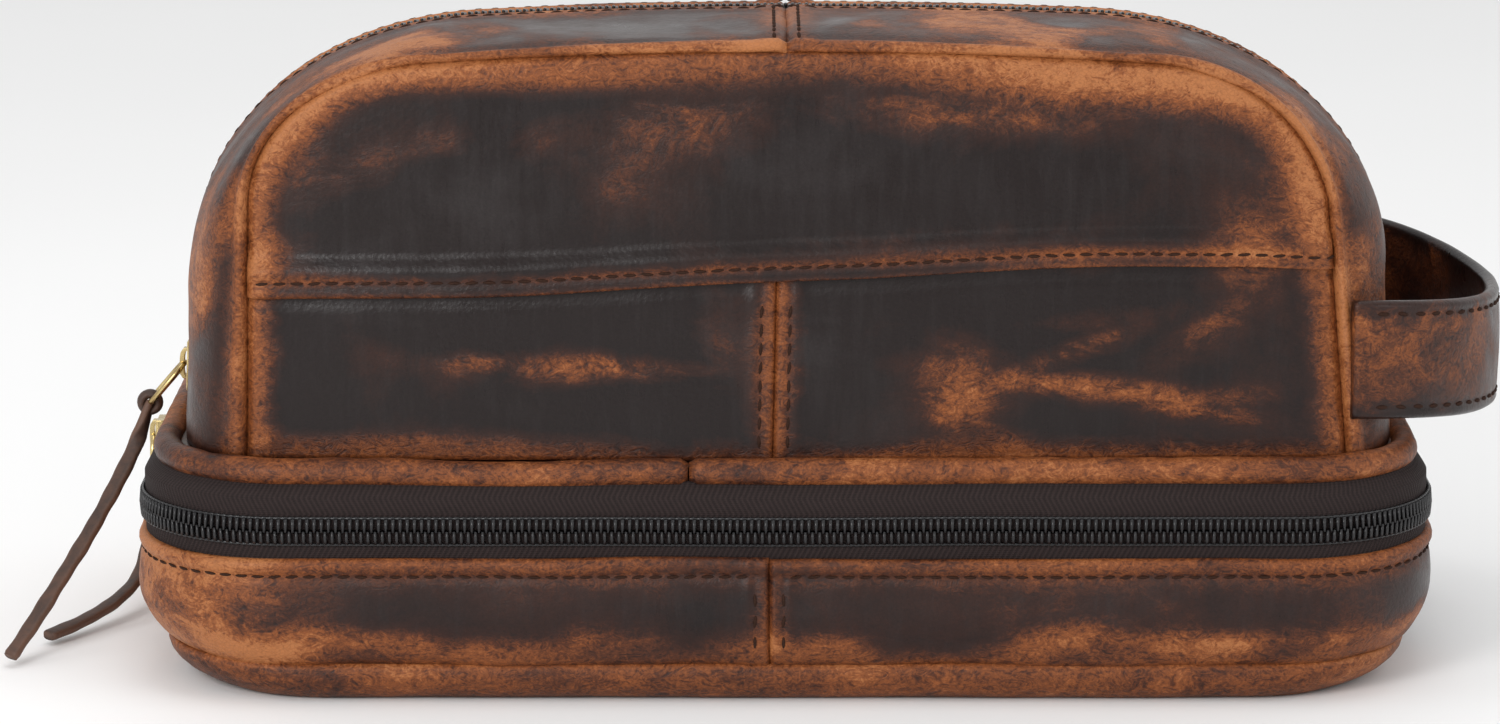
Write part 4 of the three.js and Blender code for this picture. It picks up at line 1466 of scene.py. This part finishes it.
place = level(strap_plan, sag)[:, None]
lift = np.array([0, 0, 1.0]) * (across * STRAP_WIDTH / 2)[None, :, None]
outward = level(strap_out)[:, None]
bumps = 0.25 * ripple(place + lift, 15, 6.0)[..., None]
strap_outer = place + lift + outward * (STRAP_THICKNESS + crown[None, :, None] + bumps)
strap_inner = place + lift + outward * (rounding[None, :, None] + 0.5 * bumps)
strap_edge = np.broadcast_to(from_edge * MM, strap_outer.shape[:2])
strap_worn = np.clip(0.25 + 0.7 * ripple(strap_outer, 20, 2.0), 0, 1)
handle = sheet("handle_strap", strap_outer, strap_inner, strap_leather, strap_edge, strap_worn)
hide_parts("handle_front_half", "handle_rear_half")
print("strap:", round(float(run_length(strap_plan)[-1])), "mm between its seams")

# %% [markdown]
# ## Sliders and rings
# A slider is two plates held apart by a bridge at its wide end, with turned-down flanges
# beside the tape and a bail on top that holds the ring. It is built on a bench at the
# origin: x away from the bag, y across the tape, z along its way. Then one matrix carries it
# to its place.


# %% Parts of a slider
def soften(made, width, angle):
    """Rounds every edge sharper than an angle."""
    bevel = made.modifiers.new("soft_edges", "BEVEL")
    bevel.width, bevel.segments, bevel.angle_limit = width, 2, math.radians(angle)
    bpy.ops.object.modifier_apply(modifier="soft_edges")


def plate(name, x, thick, flange):
    """A plate with a waist, narrower at its tail, and flanges turned towards the tape."""
    made = add("cube", name, size=1, location=(x, 0, 0), scale=(thick, 8.6, 11))
    pick(made, lambda m: True)
    bpy.ops.mesh.subdivide(number_cuts=3)
    done(made)
    pick(made, lambda m: m.z < -4, "VERT")
    bpy.ops.transform.resize(value=(1, 0.74, 1))
    done(made)
    pick(made, lambda m: abs(m.z) < 3, "VERT")
    bpy.ops.transform.resize(value=(1, 0.88, 1))
    done(made)
    side = -np.sign(x)
    pick(made, lambda m: abs(m.y) > 2.4 and (m.x - x) * side > thick * 0.45)
    bpy.ops.mesh.extrude_region_move(TRANSFORM_OT_translate={"value": (side * flange, 0, 0)})
    done(made)
    soften(made, 0.28, 40)
    return made


def bail(turn):
    """A bar bent into a low arch over the plate, for the ring to pass under."""
    made = add("cube", "bail", size=1, location=(3.35, 0, 0), scale=(1.0, 2.2, 6.6))
    pick(made, lambda m: True)
    bpy.ops.mesh.subdivide(number_cuts=6)
    done(made)
    work = np.array([v.co for v in made.data.vertices])
    arc = 1.75 * np.sqrt(np.clip(1 - (work[:, 2] / 3.6) ** 4, 0, 1))
    work[:, 0] += arc - 0.75
    made.data.vertices.foreach_set("co", work.ravel())
    soften(made, 0.25, 50)
    if turn:
        pick(made, lambda m: True)
        bpy.ops.transform.rotate(value=math.pi / 2, orient_axis="X", center_override=(0, 0, 0))
    return done(made)


def slider(name, turn):
    parts = [plate("upper_plate", 2.55, 1.1, 0.9), plate("lower_plate", -2.3, 0.9, 0.7)]
    parts.append(bail(turn))
    bridge = add("cube", "bridge", size=1, location=(0.1, 0, 3.6), scale=(4.2, 1.0, 3.0))
    pick(bridge, lambda m: abs(m.x - 0.1) < 0.1, "EDGE")
    bpy.ops.mesh.bevel(offset=0.3, segments=2, affect="EDGES")
    parts.append(done(bridge))
    bpy.ops.object.select_all(action="DESELECT")
    for part in parts:
        part.select_set(True)
    bpy.context.view_layer.objects.active = parts[0]
    bpy.ops.object.join()
    parts[0].name = name
    bpy.ops.object.shade_smooth_by_angle(angle=math.radians(40))
    return parts[0]


def carry(made, columns, place):
    """Takes a piece from the bench to its place; columns are its x, y and z directions."""
    turn = Matrix([[columns[k][i] for k in range(3)] for i in range(3)]).to_4x4()
    made.data.transform(Matrix.Translation([v * MM for v in place]) @ turn @ Matrix.Scale(MM, 4))
    made.data.materials.clear()
    made.data.materials.append(aged_brass)
    return made


def pull_ring(name, inner_end, outer_end):
    """A long wire ring whose inner end hangs in the bail."""
    made = add(
        "torus", name, major_radius=3.6, minor_radius=0.65, major_segments=40, minor_segments=12
    )
    for way in (-1, 1):
        pick(made, lambda m: m.y * way > 0.01, "VERT")
        bpy.ops.transform.translate(value=(0, 2.1 * way, 0))
        done(made, 60)
    inner_end, outer_end = Vector(inner_end), Vector(outer_end)
    way = (outer_end - inner_end).normalized()
    level = Vector((0, 1, 0))
    return carry(made, (level, way, level.cross(way)), (inner_end + outer_end) / 2)


# %% Both sliders and both rings
lean = Vector((0.0486, 0, 0.9988))
out_top = Vector((-0.9988, 0, 0.0486))
top_slider = carry(
    slider("top_slider_brass", False), (out_top, lean.cross(out_top), lean), (-124.001, 0, 57.2)
)
tray_slider = carry(
    slider("tray_slider_brass", True),
    (Vector((-1, 0, 0)), Vector((0, 0, -1)), Vector((0, -1, 0))), (-133.4, 24, 36.3),
)
top_ring = pull_ring("top_ring_brass", (-127.946, 0, 57.392), TOP_RING_END)
tray_ring = pull_ring("tray_ring_brass", (-137.35, 24, 36.3), TRAY_RING_END)
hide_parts("top_slider")
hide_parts("tray_slider")
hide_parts("top_pull_ring")
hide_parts("tray_pull_ring")
dress(("tray_stop_left", "tray_stop_right", "top_stop_left", "top_stop_right"), aged_brass)

# %% [markdown]
# ## Stitches
# Every seam is sewn with thick brown thread. One stitch is modelled, a short bead of thread
# that dips into the leather at both ends, and copied along each row. The rows are drawn as
# lines in space and then dropped onto the leather, so that they follow every dent in it.

# %% One stitch: along the row in x, across it in y, outwards in z
bead = add("uv_sphere", "stitch", segments=8, ring_count=5, radius=1, rotation=(0, math.pi / 2, 0))
pick(bead, lambda m: True)
bpy.ops.transform.resize(value=(1.35, 0.42, 0.36))
done(bead, 80)
pick(bead, lambda m: abs(m.x) > 1.0, "VERT")
bpy.ops.transform.translate(value=(0, 0, -0.12))
done(bead, 80)
STITCH = take_apart(bead)
STITCH_PITCH, STITCH_PROUD = 3.5, 0.12
# A ray starts this far outside the line, in mm, and reaches this far, in metres
RAY_START, RAY_REACH = 14, 0.06


def stitch_row(name, leather, line, outward, pitch=STITCH_PITCH, thickness=0.78):
    """Drops a row of stitches onto a piece of leather, from outside."""
    tree = BVHTree.FromPolygons(
        [v.co for v in leather.data.vertices], [p.vertices for p in leather.data.polygons]
    )
    outward = np.broadcast_to(np.asarray(outward, float), line.shape)
    length = run_length(line)
    count = max(2, int(length[-1] / pitch))
    at = (np.arange(count) + 0.5) * length[-1] / count
    places, axes = [], []
    for where in at:
        p, q = sample(line, length, where), sample(line, length, where + 0.5)
        o = unit(sample(outward, length, where))
        hit, normal, _, _ = tree.ray_cast(Vector((p + o * RAY_START) * MM), Vector(-o), RAY_REACH)
        if hit is None:
            continue
        normal = np.array(normal)
        along = unit(q - p) if np.linalg.norm(q - p) > 1e-6 else np.array([1.0, 0, 0])
        along = unit(along - normal * np.dot(along, normal))
        wobble = 0.10 * math.sin(where * 1.7) + 0.06 * math.sin(where * 0.61)
        across = np.cross(normal, along)
        along = unit(along + across * wobble)
        axes.append(np.stack([along, np.cross(normal, along) * thickness, normal * thickness], -1))
        places.append(np.array(hit) / MM + normal * STITCH_PROUD)
    return repeat(name, STITCH, np.array(places), np.array(axes), brown_thread)


def line_at(x, y, z):
    return np.stack(np.broadcast_arrays(x, y, z), -1).astype(float)


# %% Rows on the main bag
rows = {"mouth": [], "bag": [], "tray": []}
for face, word, body, panels in (
    (-1, "front", "mouth", front_panels), (1, "back", "bag", back_panels),
):
    outward = (0, face, 0)
    x = np.linspace(-108.0, 112.0, 160)
    slope = back_slope(BAG_DEPTH * face)
    z = (lap_height(x) + LAP_STITCH) * slope + BAG_BOTTOM
    row = line_at(x, face * 60.0, z)
    rows[body].append(stitch_row(f"{word}_lap_stitches", panels[0], row, outward))
    for side, leather in ((-1, panels[1]), (1, panels[2])):
        z = np.linspace(2.0, 32.6, 30)
        x = seam_x(z) + side * SEAM_STITCH
        row = line_at(x, face * 60.0, z * slope + BAG_BOTTOM)
        name = f"{word}_centre_stitches_{HAND[side]}"
        rows[body].append(stitch_row(name, leather, row, outward))
for (face, side), leather in gussets.items():
    body, word = ("mouth", "front") if face < 0 else ("bag", "rear")
    edge_line = gusset_rows(face, side, [GUSSET_STEPS[-1] - ZIP_STITCH])[:, 0]
    from_middle = edge_line[:, [0, 2]] - [0, 80]
    flat = side_normals(from_middle)
    flat *= np.sign(np.sum(flat * from_middle, -1, keepdims=True))
    name = f"{word}_zip_stitches_{HAND[side]}"
    rows[body].append(stitch_row(name, leather, edge_line, upright(flat)))
    row = line_at(side * TOP_STITCH, face * np.linspace(47, 10, 40), 136.0)
    name = f"{word}_top_stitches_{HAND[side]}"
    rows[body].append(stitch_row(name, leather, row, (0, 0, 1), thickness=0.9))

# %% Rows on the tray, the hinge and the handle
for leather, start, end, away in (
    (walls[0], FRONT_SHARE, 0.5, -1), (walls[1], 0.5, 1 + FRONT_SHARE, 1),
):
    hand = HAND[away]
    line = stretch_of(TRAY_LINE, start, end, 300)[3:-3]
    out, row = level(side_normals(line)), level(line, WALL_STITCH_HEIGHT)
    rows["tray"].append(stitch_row(f"tray_edge_stitches_{hand}", leather, row, out))
    z = np.linspace(11, 24.5, 12)
    for place, face, seam_middle in (("front", -1, FRONT_SEAM_X), ("back", 1, 0.0)):
        row = line_at(seam_middle + away * SEAM_STITCH, face * 66.0, z)
        name = f"tray_{place}_seam_stitches_{hand}"
        rows["tray"].append(stitch_row(name, leather, row, (0, face, 0)))
x = np.linspace(-92.5, 92.5, 60)
hinge_rows = [
    stitch_row(f"hinge_stitches_{word}", hinge, line_at(x, 68.0, z), (0, 1, 0))
    for word, z in HINGE_STITCHES.items()
]
handle_rows = []
for word, way in (("lower", -1), ("upper", 1)):
    line = level(strap_plan, sag + way * (STRAP_WIDTH / 2 - STRAP_STITCH))[3:-3]
    out = level(strap_out)[3:-3]
    handle_rows.append(stitch_row(f"handle_stitches_{word}", handle, line, out, STRAP_PITCH, 1.1))
row_count = sum(len(r) for r in rows.values()) + len(hinge_rows) + len(handle_rows)
print("stitch rows:", row_count)

# %% [markdown]
# ## What moves with what
# The back half of the bag with its stitches, the lid's zip side, the piping, the lid floor and
# the linings follow the bag, the tray's pieces follow the tray, and each slider, ring and lace
# follows its own body. The front half of the bag and its zip, the handle and the hinge strip,
# each with its stitches, have their places baked in and are given no body.

# %% Bodies
bending_mouth = [
    *front_panels, gussets[-1, -1], gussets[-1, 1], linings[-1], *front_zip_pieces,
    *rows["mouth"],
]
still_bag = [
    *back_panels, gussets[1, -1], gussets[1, 1], linings[1], *rear_zip_pieces, *rows["bag"],
    *lid_zip_pieces, piping, lid_leather, lid_cloth, floor_cloth,
]
on_tray = [base, tray_cloth, *walls, *tray_zip_pieces, *rows["tray"]]
for piece in bending_mouth:
    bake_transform(piece)
for piece in (handle, *handle_rows):
    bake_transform(piece)
for piece in (hinge, *hinge_rows):
    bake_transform(piece)
for body, pieces in (
    ("bag", still_bag), ("tray", on_tray),
    ("top_slider_body", [top_slider]), ("top_ring_body", [top_ring]),
    ("tray_slider_body", [tray_slider]), ("tray_ring_body", [tray_ring]),
):
    for piece in pieces:
        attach(piece, body)
movers = [*bending_mouth, *still_bag, *on_tray, handle, *handle_rows, hinge, *hinge_rows]
total = sum(len(p.data.polygons) for p in movers)
print("pieces:", len(movers), "faces:", total)
